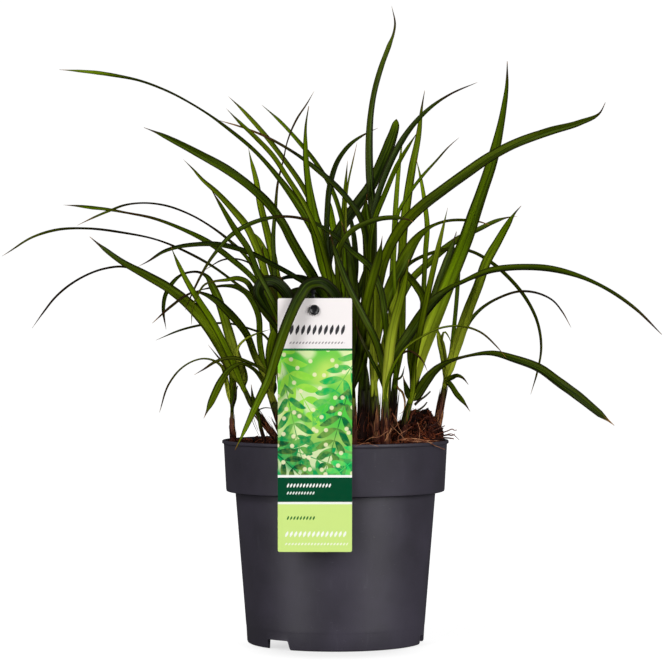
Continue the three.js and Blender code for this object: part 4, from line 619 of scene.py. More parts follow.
def elevation_stem(name, shoot):
    """A shoot's stem with its sheath, as one more thing that blades have to clear."""
    triples = [v for k in range(0, len(shoot["stem"]), 2) for v in (*shoot["stem"][k:k + 2], 0)]
    samples, _ = smooth_path(triples, SAMPLE_STEP)
    radius = shoot["r"] + GAP + SHEATH_WALL
    same = np.ones(len(samples))
    return dict(name=name, shoot=name, still=True, x=samples[:, 0], z=samples[:, 1], half=radius * same,
                width=2 * radius * same, sine=0 * same, y=shoot["y"] * same, free=0 * same)


# %% Bend the blades clear of each other
def contacts_of(items):
    """All places where two blades cover each other, as index pairs with the clearance that they need."""
    offset = np.cumsum([0] + [len(i["x"]) for i in items])
    reach = [0.5 * i["width"] * np.sqrt(1 - i["sine"] ** 2) + 0.5 * BLADE_FOLD * i["width"] + BLADE_THICKNESS
             for i in items]
    first, second, need, sign = [], [], [], []
    for a, p in enumerate(items):
        for b in range(a + 1, len(items)):
            q = items[b]
            same = p["shoot"] == q["shoot"]
            if same and (p["still"] or q["still"]):
                continue
            close = ((p["x"][:, None] - q["x"]) ** 2 + (p["z"][:, None] - q["z"]) ** 2
                     < (p["half"][:, None] + q["half"] + CONTACT_SLACK) ** 2)
            share = np.minimum(p["free"][:, None], q["free"]) if same else np.ones(close.shape)
            close &= (p["free"][:, None] + q["free"] > 0) & (share > 0)
            m, n = np.nonzero(close)
            if len(m) == 0:
                continue
            order = (p["y"][m] - q["y"][n]).sum()
            pair = (p["name"], q["name"])
            side = -1 if pair in IN_FRONT else 1 if pair[::-1] in IN_FRONT else (np.sign(order) or 1)
            first.append(m + offset[a])
            second.append(n + offset[b])
            need.append(share[m, n] * (reach[a][m] + reach[b][n] + CLEARANCE))
            sign.append(np.full(len(m), side))
    return [np.concatenate(v) for v in (first, second, need, sign)]


def settle(items):
    """Push covering blades apart in depth, smoothing each push along the blade, until all are clear."""
    first, second, need, sign = contacts_of(items)
    y = np.concatenate([i["y"] for i in items])
    free = np.concatenate([i["free"] for i in items])
    moves = np.concatenate([np.full(len(i["x"]), 0.0 if i["still"] else 1.0) for i in items])
    ends = np.cumsum([len(i["x"]) for i in items])
    starts = ends - [len(i["x"]) for i in items]
    index = np.arange(len(y))
    owner = np.searchsorted(ends, index, side="right")
    before = np.maximum(index - 1, starts[owner])
    after = np.minimum(index + 1, ends[owner] - 1)
    for _ in range(SETTLE_ROUNDS):
        short = need - sign * (y[first] - y[second])
        hit = short > 0
        share = short[hit] / (free[first[hit]] + free[second[hit]])
        away, near = np.zeros(len(y)), np.zeros(len(y))
        p, q, up = first[hit], second[hit], sign[hit] > 0
        for target, points in ((away, np.where(up, p, q)), (near, np.where(up, q, p))):
            np.maximum.at(target, points, share * free[points])
        step = (away - near) * moves
        for _ in range(4):
            step = 0.25 * step[before] + 0.5 * step + 0.25 * step[after]
        y += step * free
    for item, a, b in zip(items, starts, ends):
        item["y"] = y[a:b]


stems = [elevation_stem(name, shoot) for name, shoot in SHOOTS.items()]
blades = [elevation_blade(*row) for row in BLADES]
settle(stems + blades)
# two more leaves are drawn after the others have settled: a curled one, painted in shade, fills the dark
# space behind the card's pin, and a short broad one closes the fork of the second shoot
behind_pin = elevation_blade("bp", "s07", 9, -34, [
    2, 224, 5, -5, 262, 7, -13, 283, 9, -20, 291, 9, -30, 294.5, 8.5, -40, 291, 7, -46, 284, 4, -49, 278, 1])
behind_pin["y"] = behind_pin["y"] - np.linspace(0, 22, len(behind_pin["y"]))
in_fork = elevation_blade("cf", "s02", 9.5, -20, [
    -77.2, 220.5, 7.5, -80, 230, 8.8, -85, 243, 8.8, -88.5, 257, 7, -92, 271, 4, -95, 281, 1])
blades += [behind_pin, in_fork]
print("blades drawn:", len(blades))

# %% [markdown]
# ## The leaf finish
#
# A sedge blade is a dark, slightly glossy green with fine veins that run its whole length, a keel down
# the middle, a darker rough margin, and a young yellow-green foot. Light and shade are painted into its
# colour too: a painted shade darkens one half of the fold, a painted highlight streak runs along one
# shoulder beside the keel, and brightly lit places are painted paler, as the young foot is. Its tip dries
# to straw or rust, and where it gets thin it turns browner. The veins follow the blade, so the finish
# reads the strip's own UV map: across the blade in u, along it in v. How bright, how dry, how tinted and
# how thin each place is comes from a colour attribute, point by point. The brightness is the blade's own
# tone with painted light and shade, and below zero it is painted shade for a leaf in the shade of others.

# %% Leaf finish
def leaf_finish():
    """Green with painted light and shade, veins, a painted highlight streak, margins and keel, which withers
    to straw.
    """
    material, tree, shader = finish_base("sedge_leaf", Specular_IOR_Level=0.15)
    uv = add(tree, "ShaderNodeUVMap", {"uv_map": "UVMap"}).outputs[0]
    light, dry, chance = painted(tree, "leaf")
    narrow = add(tree, "ShaderNodeAttribute", {"attribute_name": "leaf"}).outputs["Alpha"]
    across, along, _ = add(tree, "ShaderNodeSeparateXYZ", Vector=uv).outputs
    place = add(tree, "ShaderNodeCombineXYZ", X=across, Y=along, Z=times(tree, chance, 40.0)).outputs[0]
    veins = fibres(tree, place, (1, 0.015, 1), 24, 0.38, 0.62)
    streaks = minus(tree, fibres(tree, place, (1, 0.05, 1), 5, 0.3, 0.7), 0.5)
    # the green itself: a painted shade on one half of the fold, pale where it is young and where painted
    # light makes it bright, a painted near-black shade where other leaves shade it
    deep = blend_colour(tree, chance, linear("0c1800"), linear("121e00"))
    fresh = blend_colour(tree, chance, linear("8cb400"), linear("9eb810"))
    pale = blend_colour(tree, chance, linear("c0ce38"), linear("cad446"))
    # painted shade: one half of the folded blade is painted darker than the other
    turned = times(tree, minus(tree, across, 0.5), 0.18)
    tone = plus(tree, light, plus(tree, turned, times(tree, streaks, 0.08)), True)
    green = blend_colour(tree, tone, deep, fresh)
    # this mask pales the brightest places: the young feet, and the places where the painted light is strong
    young_and_lit = smooth_step(tree, light, 0.35, 1.0)
    green = blend_colour(tree, young_and_lit, green, blend_colour(tree, tone, deep, pale))
    # painted shade: near black where the painted brightness and the darker half fall below zero
    shaded = smooth_step(tree, plus(tree, light, turned), 0.02, -0.3)
    green = blend_colour(tree, shaded, green, linear("040900"))
    # dark veins, pale lines between them and a painted highlight streak on one shoulder
    vein_share = minus(tree, 0.4, times(tree, young_and_lit, 0.25))
    veined = blend_colour(tree, times(tree, veins, vein_share), green, linear("081200"))
    pale_lines = fibres(tree, place, (1, 0.01, 1), 11, 0.55, 0.75)
    veined = blend_colour(tree, times(tree, pale_lines, 0.18), veined, linear("86a624"))
    # painted highlight: a pale streak along one shoulder, brighter where the blade is painted lit
    shoulder = smooth_step(tree, absolute(tree, minus(tree, across, 0.34)), 0.1, 0.0)
    painted_highlight_streak = times(tree, shoulder, fibres(tree, place, (1, 0.02, 1), 3, 0.42, 0.66))
    highlight_streak_colour = blend_colour(tree, young_and_lit, linear("74983c"), linear("d0ec54"))
    veined = blend_colour(tree, times(tree, painted_highlight_streak, 0.22), veined, highlight_streak_colour)
    # brown where the leaf is thin and dark, then the margins and the keel
    thin_share = minus(tree, 1.0, times(tree, smooth_step(tree, light, 0.15, 0.5), 0.6))
    veined = blend_colour(tree, times(tree, narrow, thin_share), veined, linear("38190f"))
    edge = absolute(tree, minus(tree, across, 0.5))
    rim_share = minus(tree, 0.9, times(tree, young_and_lit, 0.45))
    rim = times(tree, smooth_step(tree, edge, 0.24, 0.5), rim_share)
    margined = blend_colour(tree, rim, veined, linear("120c04"))
    keel = smooth_step(tree, edge, 0.08, 0.0)
    keeled = blend_colour(tree, times(tree, keel, 0.45), margined, linear("1a2800"))
    # straw and rust where it has dried
    straw = blend_colour(tree, chance, linear("8a5a26"), linear("a87c40"))
    burnt = blend_colour(tree, mottle(tree, place, 3, 0.45, 0.65), straw, linear("3c1e12"))
    dried = smooth_step(tree, plus(tree, dry, times(tree, streaks, 0.5)), 0.35, 0.85)
    withered = times(tree, dried, maths(tree, "GREATER_THAN", dry, 0.02))
    tree.links.new(blend_colour(tree, withered, keeled, burnt), shader.inputs["Base Color"])
    sheen = blend_colour(tree, smooth_step(tree, light, 0.04, 0.2), linear("c0d09c"), linear("d4ee50"))
    tree.links.new(sheen, shader.inputs["Specular Tint"])
    rough = plus(tree, times(tree, veins, 0.1), times(tree, withered, 0.25))
    tree.links.new(plus(tree, rough, 0.38), shader.inputs["Roughness"])
    relief(tree, shader, minus(tree, times(tree, veins, 0.6), keel), 0.35, 0.0002)
    return material


LEAF = leaf_finish()

# %% [markdown]
# ## The blades
#
# Each blade starts as a flat grid, seven points wide. Its rows are laid along the drawn line, turned to
# the side that shows, folded into the shallow V of a sedge leaf with a raised shoulder on each side of
# the keel, and given a wall with Solidify. A curve with a bevel object could follow the same line, but
# it can't turn by a set amount at every point, and the turn is what makes a leaf look like a leaf.

# %% How bright each blade is painted, with its light and shade, and how dry it is
# name: brightness at the foot, in the middle and at the tip, which is the blade's own tone with painted
# light and shade, and share of the length that has dried
BLADE_LOOK = {
    "a": (0.6, 0.18, 0.05, 0.0), "b": (0.5, 0.42, 0.4, 0.01), "c": (1.0, 0.25, 0.1, 0.01),
    "d": (1.0, 0.1, 0.02, 0.05), "e1": (0.3, 0.05, 0.6, 0.01), "e2": (0.6, 0.15, 0.3, 0.02),
    "f": (0.6, 0.4, 0.6, 0.01), "g": (-0.25, -0.3, 0.1, 0.0), "h": (0.15, 0.03, 0.15, 0.0),
    "i": (0.3, 0.4, 0.4, 0.05), "j": (0.5, 0.9, 0.4, 0.02), "k": (-0.1, 0.0, 0.02, 0.02),
    "l": (0.2, 0.3, 0.1, 0.05), "m": (0.5, 0.2, 0.28, 0.02), "m2": (0.3, 0.3, 0.06, 0.03),
    "n": (0.4, 0.15, 0.2, 0.02), "o": (0.4, 0.12, 0.35, 0.06), "p1": (0.3, 0.5, 0.3, 0.01),
    "p2": (0.3, 0.08, 0.2, 0.01), "q": (0.15, 0.3, 0.5, 0.02), "r": (0.35, 0.15, 0.12, 0.01),
    "t": (0.4, 0.45, 0.4, 0.0), "u": (0.15, 0.07, 0.15, 0.01), "x1": (0.3, 0.3, 0.3, 0.01),
    "x2": (0.2, 0.2, 0.35, 0.01), "z": (0.6, 0.25, 0.35, 0.01), "aa": (0.05, 0.04, 0.05, 0.15),
    "y": (0.8, 0.38, 0.4, 0.02), "bb": (0.02, 0.01, 0.08, 0.01), "cc1": (0.4, 0.05, 0.3, 0.02),
    "cc2": (0.3, 0.9, 0.4, 0.1), "dd": (0.05, 0.0, 0.05, 0.0), "ee": (0.08, 0.02, 0.15, 0.0),
    "ff": (0.05, 0.15, 0.07, 0.02), "gg": (0.15, 0.08, 0.03, 0.0), "gg2": (0.45, 0.03, 0.03, 0.0),
    "ll": (-0.15, 0.05, 0.48, 0.03), "s1a": (1.0, 0.6, 0.02, 0.05), "s1c": (0.3, 0.4, 0.4, 0.02),
    "s1d": (0.12, 0.15, 0.3, 0.02), "s1b": (0.2, 0.2, 0.3, 0.1), "v2": (1.0, 0.15, 0.05, 0.02),
    "v3": (1.0, 0.2, 0.2, 0.01), "s3": (0.3, 0.4, 0.2, 0.02), "ra": (0.03, 0.0, 0.08, 0.01),
    "rb": (0.9, 0.18, 0.4, 0.01), "rc": (0.3, 0.35, 0.25, 0.01), "rd": (0.3, 0.35, 0.6, 0.02),
    "re": (0.6, 0.3, 0.5, 0.02), "rf": (0.4, 0.6, 0.2, 0.06), "rg": (0.8, 0.13, 0.12, 0.01),
    "rh": (0.9, 0.3, 0.22, 0.01), "ri": (1.0, 0.75, 0.3, 0.01), "rj": (0.08, 0.07, 0.06, 0.01),
    "rk": (0.15, 0.2, 0.3, 0.03), "rl": (0.1, 0.08, 0.15, 0.1), "rm": (0.4, 0.6, 0.08, 0.08),
    "rn": (0.08, 0.03, 0.06, 0.055), "ro": (0.05, 0.02, 0.05, 0.02), "rp": (0.9, 0.8, 0.7, 0.02),
    "rq": (1.0, 1.0, 0.5, 0.05), "rr": (0.6, 0.1, 0.2, 0.01), "rs": (0.05, 0.2, 0.12, 0.01),
    "rx": (0.1, 0.06, 0.08, 0.01), "rt": (0.7, 0.1, 0.5, 0.08), "ru": (0.5, 0.4, 0.7, 0.03),
    "rv": (0.5, 0.35, 0.1, 0.01), "ja": (1.0, 0.7, 0.35, 0.0), "jb": (0.6, 0.95, 0.6, 0.0),
    "s5a": (0.8, 0.2, 0.2, 0.04), "s5b": (0.1, 0.15, 0.15, 0.02), "sp": (0.4, 0.4, 0.3, 0.02),
    "sq": (0.03, 0.03, 0.0, 0.03), "sr": (0.1, 0.1, 0.1, 1.0), "cc": (0.02, 0.15, 0.05, 0.0),
    "ce": (0.03, 0.7, 0.6, 0.0), "ca": (0.03, 0.3, 0.05, 0.0), "cb": (0.15, 0.15, 0.15, 0.0),
    "fa": (0.8, 0.8, 0.2, 0.02), "fb": (0.02, 0.02, 0.02, 0.02), "fc": (0.3, -0.1, -0.1, 0.02),
    "fd": (0.05, 0.03, 0.0, 0.02), "fe": (0.3, 0.3, 0.45, 0.01), "ff2": (0.4, 0.3, 0.2, 0.01),
    "bp": (-0.1, -0.1, -0.1, 0.0), "cf": (0.5, 0.7, 0.4, 0.0),
}
PLAIN_LOOK = (0.15, 0.1, 0.1, 0.03)
# blades whose tip has broken off and dried
BLUNT = ("dd",)
# how long the point of a blade is, in millimetres, when it is whole and when it has broken off
POINT_LENGTH, BLUNT_LENGTH = 16, 3
ACROSS = 6
# strips that show narrower than this are drawn up to this share thinner
SLIM_BELOW, SLIM_RANGE, SLIM_SHARE = 3.8, 1.6, 0.16
# strips that show narrower than this turn brown
THIN_BELOW, THIN_RANGE = 2.6, 1.2
rng = np.random.default_rng(41)


# %% Blade geometry
def fine_frames(blade):
    """Centres, half-width vectors and normals along a blade, every FINE_STEP, in millimetres."""
    samples, total = smooth_path(blade["line"], FINE_STEP)
    along = np.linspace(0, 1, len(samples))
    coarse = np.linspace(0, 1, len(blade["y"]))
    y = np.interp(along, coarse, blade["y"])
    for _ in range(6):
        y[1:-1] = 0.25 * y[:-2] + 0.5 * y[1:-1] + 0.25 * y[2:]
    shown = samples[:, 2]
    width = real_width(blade["full"], along, shown)
    sine = np.minimum(1, shown / width)
    for _ in range(4):
        sine[1:-1] = 0.25 * sine[:-2] + 0.5 * sine[1:-1] + 0.25 * sine[2:]
    tip = np.clip((1 - along) * total / (BLUNT_LENGTH if blade["name"] in BLUNT else POINT_LENGTH), 0, 1)
    width = width * (0.12 + 0.88 * tip ** 0.7)
    centre = along_sight(samples[:, 0], samples[:, 1], y)
    tangent = np.gradient(centre, axis=0)
    tangent /= np.linalg.norm(tangent, axis=1)[:, None]
    sight = centre - EYE
    sight /= np.linalg.norm(sight, axis=1)[:, None]
    across = np.cross(tangent, sight)
    across /= np.linalg.norm(across, axis=1)[:, None]
    deep = np.cross(tangent, across)
    side = across * sine[:, None] + deep * (blade["side"] * np.sqrt(1 - sine ** 2))[:, None]
    normal = np.cross(tangent, side)
    normal *= np.sign(normal[:, 2].sum()) or 1
    half = 0.5 * width * (1 + y / EYE_DISTANCE)
    half *= 1 - SLIM_SHARE * np.clip((SLIM_BELOW - 2 * half * sine) / SLIM_RANGE, 0, 1)
    return centre, side, normal, half, along, total, sine


def blade_strip(blade, seed):
    """One blade as a thin mesh strip with its UV map and its look."""
    centre, side, normal, half, along, total, slant = fine_frames(blade)
    rows = len(centre)
    bpy.ops.mesh.primitive_grid_add(x_subdivisions=ACROSS, y_subdivisions=rows - 1, size=1,
                                    location=(0, 0, 0))
    strip = bpy.context.object
    mesh = strip.data
    flat = np.empty(len(mesh.vertices) * 3)
    mesh.vertices.foreach_get("co", flat)
    flat = flat.reshape(-1, 3)
    column = np.rint((flat[:, 0] + 0.5) * ACROSS).astype(int)
    row = np.rint((flat[:, 1] + 0.5) * (rows - 1)).astype(int)
    t = np.linspace(-1, 1, ACROSS + 1)
    fold = -BLADE_FOLD * (1 - np.abs(t)) + 0.07 * np.sin(np.pi * np.abs(t))
    wave = 0.05 * np.sin(along * total / 11 + seed)[:, None] * np.sign(t) * np.abs(t) ** 3
    place = (centre[:, None] + side[:, None] * (half[:, None] * t)[..., None]
             + normal[:, None] * (half[:, None] * (fold + wave))[..., None])
    mesh.vertices.foreach_set("co", (place[row, column] * MM).ravel())
    mesh.update()
    uv = mesh.uv_layers.active.data
    loops = np.empty(len(mesh.loops), int)
    mesh.loops.foreach_get("vertex_index", loops)
    strip_uv = np.column_stack([column[loops] / ACROSS, along[row[loops]] * total / 10])
    uv.foreach_set("uv", strip_uv.ravel())
    foot, middle, tip, dry = BLADE_LOOK.get(blade["name"], PLAIN_LOOK)
    s = along[row]
    # the blade's own tone with painted light and shade, from foot to tip
    bright = np.interp(s, [0, 0.12, 0.5, 1], [foot, foot, middle, tip])
    age = np.clip((s - (1 - 1.6 * dry)) / max(1.6 * dry, 1e-3), 0, 1) if dry else 0 * s
    if blade["name"] in BLUNT:
        bright = np.maximum(bright, 0.25 * np.clip(1 - (1 - s) * total / 14, 0, 1))
    else:
        age = np.maximum(age, np.clip(1 - (1 - s) * total / 6, 0, 1))
    narrow = np.clip((THIN_BELOW - 2 * (half * slant)[row]) / THIN_RANGE, 0, 1) * 0.9
    chance = np.full(len(s), rng.random())
    look = mesh.color_attributes.new("leaf", "FLOAT_COLOR", "POINT")
    look.data.foreach_set("color", np.column_stack([bright, age, chance, narrow]).ravel())
    return strip


def join(parts, name):
    """Join several objects into one and name it."""
    deselect()
    for part in parts:
        part.select_set(True)
    bpy.context.view_layer.objects.active = parts[0]
    if len(parts) > 1:
        bpy.ops.object.join()
    whole = bpy.context.object
    whole.name = whole.data.name = name
    return whole


def apply_modifier(obj, kind, **settings):
    """Add a modifier with the given settings and make its result the mesh."""
    choose(obj)
    modifier = obj.modifiers.new(kind.lower(), kind)
    for field, value in settings.items():
        setattr(modifier, field, value)
    bpy.ops.object.modifier_apply(modifier=modifier.name)


# %% Finish of the shoots' stems
def stem_finish():
    """Dark red-brown at the foot, olive above, with painted shade deep in the clump. The attribute holds
    height, unshaded share and rosiness.
    """
    material, tree, shader = finish_base("shoot_stem", Specular_IOR_Level=0.1)
    height, unshaded, rosy = painted(tree, "stem")
    strands = fibres(tree, object_place(tree), (1, 1, 0.05), 1100, 0.35, 0.65)
    brown = blend_colour(tree, strands, linear("170b09"), linear("3c1c14"))
    pink = blend_colour(tree, strands, linear("44231b"), linear("7c4c3e"))
    brown = blend_colour(tree, rosy, brown, pink)
    green = blend_colour(tree, strands, linear("2c3a02"), linear("5d6d10"))
    uneven = times(tree, minus(tree, strands, 0.5), 0.3)
    turn = smooth_step(tree, plus(tree, height, uneven), 0.5, 0.95)
    colour = blend_colour(tree, turn, brown, green)
    # painted shade: stems deep in the clump are blended towards near black
    tree.links.new(blend_colour(tree, unshaded, linear("0b0803"), colour), shader.inputs["Base Color"])
    tree.links.new(plus(tree, times(tree, strands, 0.15), 0.45), shader.inputs["Roughness"])
    relief(tree, shader, strands, 0.4, 0.0002)
    return material


STEM = stem_finish()

# %% Stems
# how deep a stem is set in the medium and how long its point is, in millimetres
STEM_BURIED, STEM_TIP = 18, 16
STEM_SIDES, STEM_RINGS = 18, 18
# shoots that are green almost down to the medium
GREEN_FEET = {"s14": 0.35, "s03": 0.2}
# shoots with bare, rosy feet: how far their leaf bases stand off, how pale these are at the medium
BARE_FEET = {"s15": (0.2, 0.9), "s01": (0.3, 0.05)}


def stem_path(shoot):
    """The points of a stem in space, lengthened down into the medium."""
    s = shoot["stem"]
    points = [along_sight(np.array([s[k]]), np.array([s[k + 1]]), np.array([shoot["y"]]))[0]
              for k in range(0, len(s), 2)]
    down = points[0] - points[1]
    return np.array([points[0] + down * STEM_BURIED / -down[2], *points])


def tube(path, radii, sides, name, phase):
    """A three-ridged tube of level rings round a path, from a cylinder that is set ring by ring."""
    deselect()
    bpy.ops.mesh.primitive_cylinder_add(vertices=sides, depth=2, end_fill_type="NGON", location=(0, 0, 0))
    piece = bpy.context.object
    piece.name = name
    edit = bmesh.new()
    edit.from_mesh(piece.data)
    upright = [e for e in edit.edges if abs(e.verts[0].co.z - e.verts[1].co.z) > 1]
    bmesh.ops.subdivide_edges(edit, edges=upright, cuts=len(path) - 2)
    for v in edit.verts:
        k = round((v.co.z + 1) / 2 * (len(path) - 1))
        angle = math.atan2(v.co.y, v.co.x)
        r = radii[k] * (1 + 0.08 * math.cos(3 * angle + phase + 0.35 * k))
        v.co = Vector((path[k][0] + r * math.cos(angle), path[k][1] + r * math.sin(angle), path[k][2])) * MM
    edit.to_mesh(piece.data)
    edit.free()
    return piece


def stem_piece(shoot, seed):
    """The bundle of leaf feet, which runs out in a point between the blades."""
    path = stem_path(shoot)
    tip = path[-1] + (path[-1] - path[-2]) / np.linalg.norm(path[-1] - path[-2]) * STEM_TIP
    path = np.vstack([path, tip])
    run = np.concatenate([[0], np.cumsum(np.linalg.norm(np.diff(path, axis=0), axis=1))])
    at = np.linspace(0, run[-1], STEM_RINGS)
    fine = np.column_stack([np.interp(at, run, path[:, c]) for c in range(3)])
    taper = np.interp(run[-1] - at, [0, 0.5 * STEM_TIP, STEM_TIP, STEM_TIP + 14], [0.12, 0.5, 0.8, 1])
    radii = shoot["r"] * taper
    piece = tube(fine, radii, STEM_SIDES, "stem", seed)
    low, high = path[1][2], path[-2][2]
    bare = shoot["name"] in BARE_FEET
    # painted shade by depth: the further back a shoot stands, the darker it is painted; bare feet get almost
    # none
    unshaded = 0.95 if bare else np.interp(shoot["y"], [-50, -5], [1, 0.3])
    start = GREEN_FEET.get(shoot["name"], 0)
    unshaded *= 1 - start
    heights = [min(1, max(0, (v.co.z / MM - low) / (high - low)) + start) for v in piece.data.vertices]
    look = piece.data.color_attributes.new("stem", "FLOAT_COLOR", "POINT")
    look.data.foreach_set("color", np.array([(height, unshaded, bare, 1) for height in heights]).ravel())
    piece.data.materials.append(STEM)
    return piece


# %% Model the tufts
faces_in_tufts = 0
for number, (shoot_name, shoot) in enumerate(SHOOTS.items()):
    shoot["name"] = shoot_name
    parts = [blade_strip(b, 7 * k) for k, b in enumerate(blades) if b["shoot"] == shoot_name]
    tuft = join(parts, f"tuft_{shoot_name[1:]}")
    tuft.data.materials.append(LEAF)
    apply_modifier(tuft, "SOLIDIFY", thickness=0.5 * MM, offset=0)
    tuft = join([tuft, stem_piece(shoot, number)], f"tuft_{shoot_name[1:]}")
    bpy.ops.object.shade_smooth()
    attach(tuft, "root")
    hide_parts(f"shoot_{shoot_name[1:]}_blades")
    faces_in_tufts += len(tuft.data.polygons)
print("faces in the tufts:", faces_in_tufts)

# %% [markdown]
# ## The pot
#
# A nursery pot is injection moulded: one thin wall with a raised floor, a foot ring with notches that
# let water out, a step near the ground and a wide collar that stiffens the mouth. It is modelled by
# extruding one circle again and again, up the outside and down the inside, the way the section runs.
# Cutters with a Boolean modifier make the notches and the drain holes.

# %% Bodies that are extruded step by step
def extrude_step(move, grow, centre):
    """Extrude the selected ring by a move, then scale the new ring about its centre, in millimetres."""
    bpy.ops.mesh.extrude_region_move(TRANSFORM_OT_translate={"value": tuple(m * MM for m in move)})
    bpy.ops.transform.resize(value=grow, center_override=tuple(c * MM for c in centre))


def leave_edit():
    """Turn all faces outwards and leave edit mode."""
    bpy.ops.mesh.select_all(action="SELECT")
    bpy.ops.mesh.normals_make_consistent(inside=False)
    bpy.ops.object.mode_set(mode="OBJECT")


def spun_body(section, sides):
    """A closed body of revolution: one circle extruded along a section of (radius, height)."""
    deselect()
    bpy.ops.mesh.primitive_circle_add(vertices=sides, radius=section[0][0] * MM, fill_type="NGON",
                                      location=(0, 0, section[0][1] * MM))
    body = bpy.context.object
    bpy.ops.object.transform_apply(location=True, rotation=False, scale=False)
    bpy.ops.object.mode_set(mode="EDIT")
    bpy.ops.mesh.select_all(action="SELECT")
    bpy.ops.mesh.delete(type="ONLY_FACE")
    bpy.ops.mesh.select_all(action="SELECT")
    for (r0, z0), (r1, z1) in zip(section, section[1:]):
        extrude_step((0, 0, z1 - z0), (r1 / r0, r1 / r0, 1), (0, 0, z1))
    bpy.ops.mesh.edge_face_add()
    bpy.ops.mesh.select_all(action="SELECT")
    bpy.ops.mesh.region_to_loop()
    bpy.ops.mesh.edge_face_add()
    leave_edit()
    return body


# %% Pot sizes and section
POT_HEIGHT, LIP_RADIUS, COLLAR_RADIUS, COLLAR_FOOT_RADIUS, COLLAR_FOOT = 170, 95.4, 94, 92, 127
BODY_RADIUS, BASE_RADIUS, STEP_RADIUS, STEP_HEIGHT, WALL = 84.3, 74.4, 75.1, 14.5, 1.3
FLOOR, PAD_RADIUS, PAD_THICKNESS = 8.4, 22, 1.5
# the first and last ring of a section: a small circle that one face closes
HUB_RADIUS = 3
POT_SIDES = 168
SECTION = [
    (HUB_RADIUS, 0), (PAD_RADIUS - 0.3, 0), (PAD_RADIUS, 0.3), (PAD_RADIUS + 2.4, FLOOR - 0.4),
    (PAD_RADIUS + 2.8, FLOOR), (BASE_RADIUS - 3.7, FLOOR), (BASE_RADIUS - 3.4, FLOOR - 0.4),
    (BASE_RADIUS - 3.0, 0.3), (BASE_RADIUS - 2.8, 0), (BASE_RADIUS - 1.5, 0), (BASE_RADIUS - 0.6, 0.5),
    (BASE_RADIUS - 0.1, 1.7), (STEP_RADIUS - 0.1, STEP_HEIGHT - 0.5), (STEP_RADIUS, STEP_HEIGHT),
    (STEP_RADIUS + 0.1, STEP_HEIGHT + 0.6), (STEP_RADIUS + 0.3, STEP_HEIGHT + 2.6),
    (BODY_RADIUS - 0.05, COLLAR_FOOT - 0.7), (BODY_RADIUS + 0.5, COLLAR_FOOT),
    (COLLAR_FOOT_RADIUS - 1.3, COLLAR_FOOT), (COLLAR_FOOT_RADIUS - 0.35, COLLAR_FOOT + 0.4),
    (COLLAR_FOOT_RADIUS, COLLAR_FOOT + 1.6), (COLLAR_RADIUS, POT_HEIGHT - 3.6),
    (COLLAR_RADIUS + 0.15, POT_HEIGHT - 3.1), (LIP_RADIUS - 0.2, POT_HEIGHT - 2.6),
    (LIP_RADIUS, POT_HEIGHT - 2.1), (LIP_RADIUS, POT_HEIGHT - 0.7), (LIP_RADIUS - 0.5, POT_HEIGHT - 0.1),
    (LIP_RADIUS - 1.0, POT_HEIGHT), (COLLAR_RADIUS - WALL + 0.4, POT_HEIGHT),
    (COLLAR_RADIUS - WALL, POT_HEIGHT - 0.5), (COLLAR_RADIUS - WALL, POT_HEIGHT - 4),
    (COLLAR_FOOT_RADIUS - WALL, COLLAR_FOOT + 4), (BODY_RADIUS - WALL, COLLAR_FOOT + 0.6),
    (BASE_RADIUS - WALL, FLOOR + WALL), (PAD_RADIUS + 0.6, FLOOR + WALL),
    (PAD_RADIUS - 1.4, PAD_THICKNESS), (HUB_RADIUS, PAD_THICKNESS),
]

# %% Extrude the pot
pot = spun_body(SECTION, POT_SIDES)
print("pot faces:", len(pot.data.polygons))


# %% Cut the notches and the drain holes
def cut(target, cutter):
    """Take the cutter's volume out of the target, then drop the cutter."""
    apply_modifier(target, "BOOLEAN", operation="DIFFERENCE", solver="EXACT", object=cutter)
    bpy.data.objects.remove(cutter)


# where the notches are, seen from below in degrees from the front, and how long, deep and high they are
NOTCHES = (-38.5, 81.5, 201.5)
NOTCH_SIZE, NOTCH_SLANT = (26, 14, 15), 4.3
DRAIN_HOLES, DRAIN_RADIUS, DRAIN_CIRCLE = 6, 5, 46
for degrees in NOTCHES:
    angle = math.radians(degrees)
    deselect()
    bpy.ops.mesh.primitive_cube_add(
        size=1, location=(BASE_RADIUS * MM * math.sin(angle), -BASE_RADIUS * MM * math.cos(angle), 0),
        rotation=(0, 0, angle), scale=[s * MM for s in NOTCH_SIZE])
    cutter = bpy.context.object
    for v in cutter.data.vertices:
        if v.co.x > 0 and v.co.z > 0:
            v.co.x -= NOTCH_SLANT * MM
    bpy.ops.object.transform_apply(location=True, rotation=True, scale=True)
    apply_modifier(cutter, "BEVEL", width=0.9 * MM, segments=3)
    cut(pot, cutter)
for k in range(DRAIN_HOLES):
    angle = (k + 0.5) * 2 * math.pi / DRAIN_HOLES
    deselect()
    bpy.ops.mesh.primitive_cylinder_add(
        vertices=32, radius=DRAIN_RADIUS * MM, depth=12 * MM,
        location=(DRAIN_CIRCLE * MM * math.cos(angle), DRAIN_CIRCLE * MM * math.sin(angle), FLOOR * MM))
    cut(pot, bpy.context.object)
print("pot faces after the cuts:", len(pot.data.polygons))


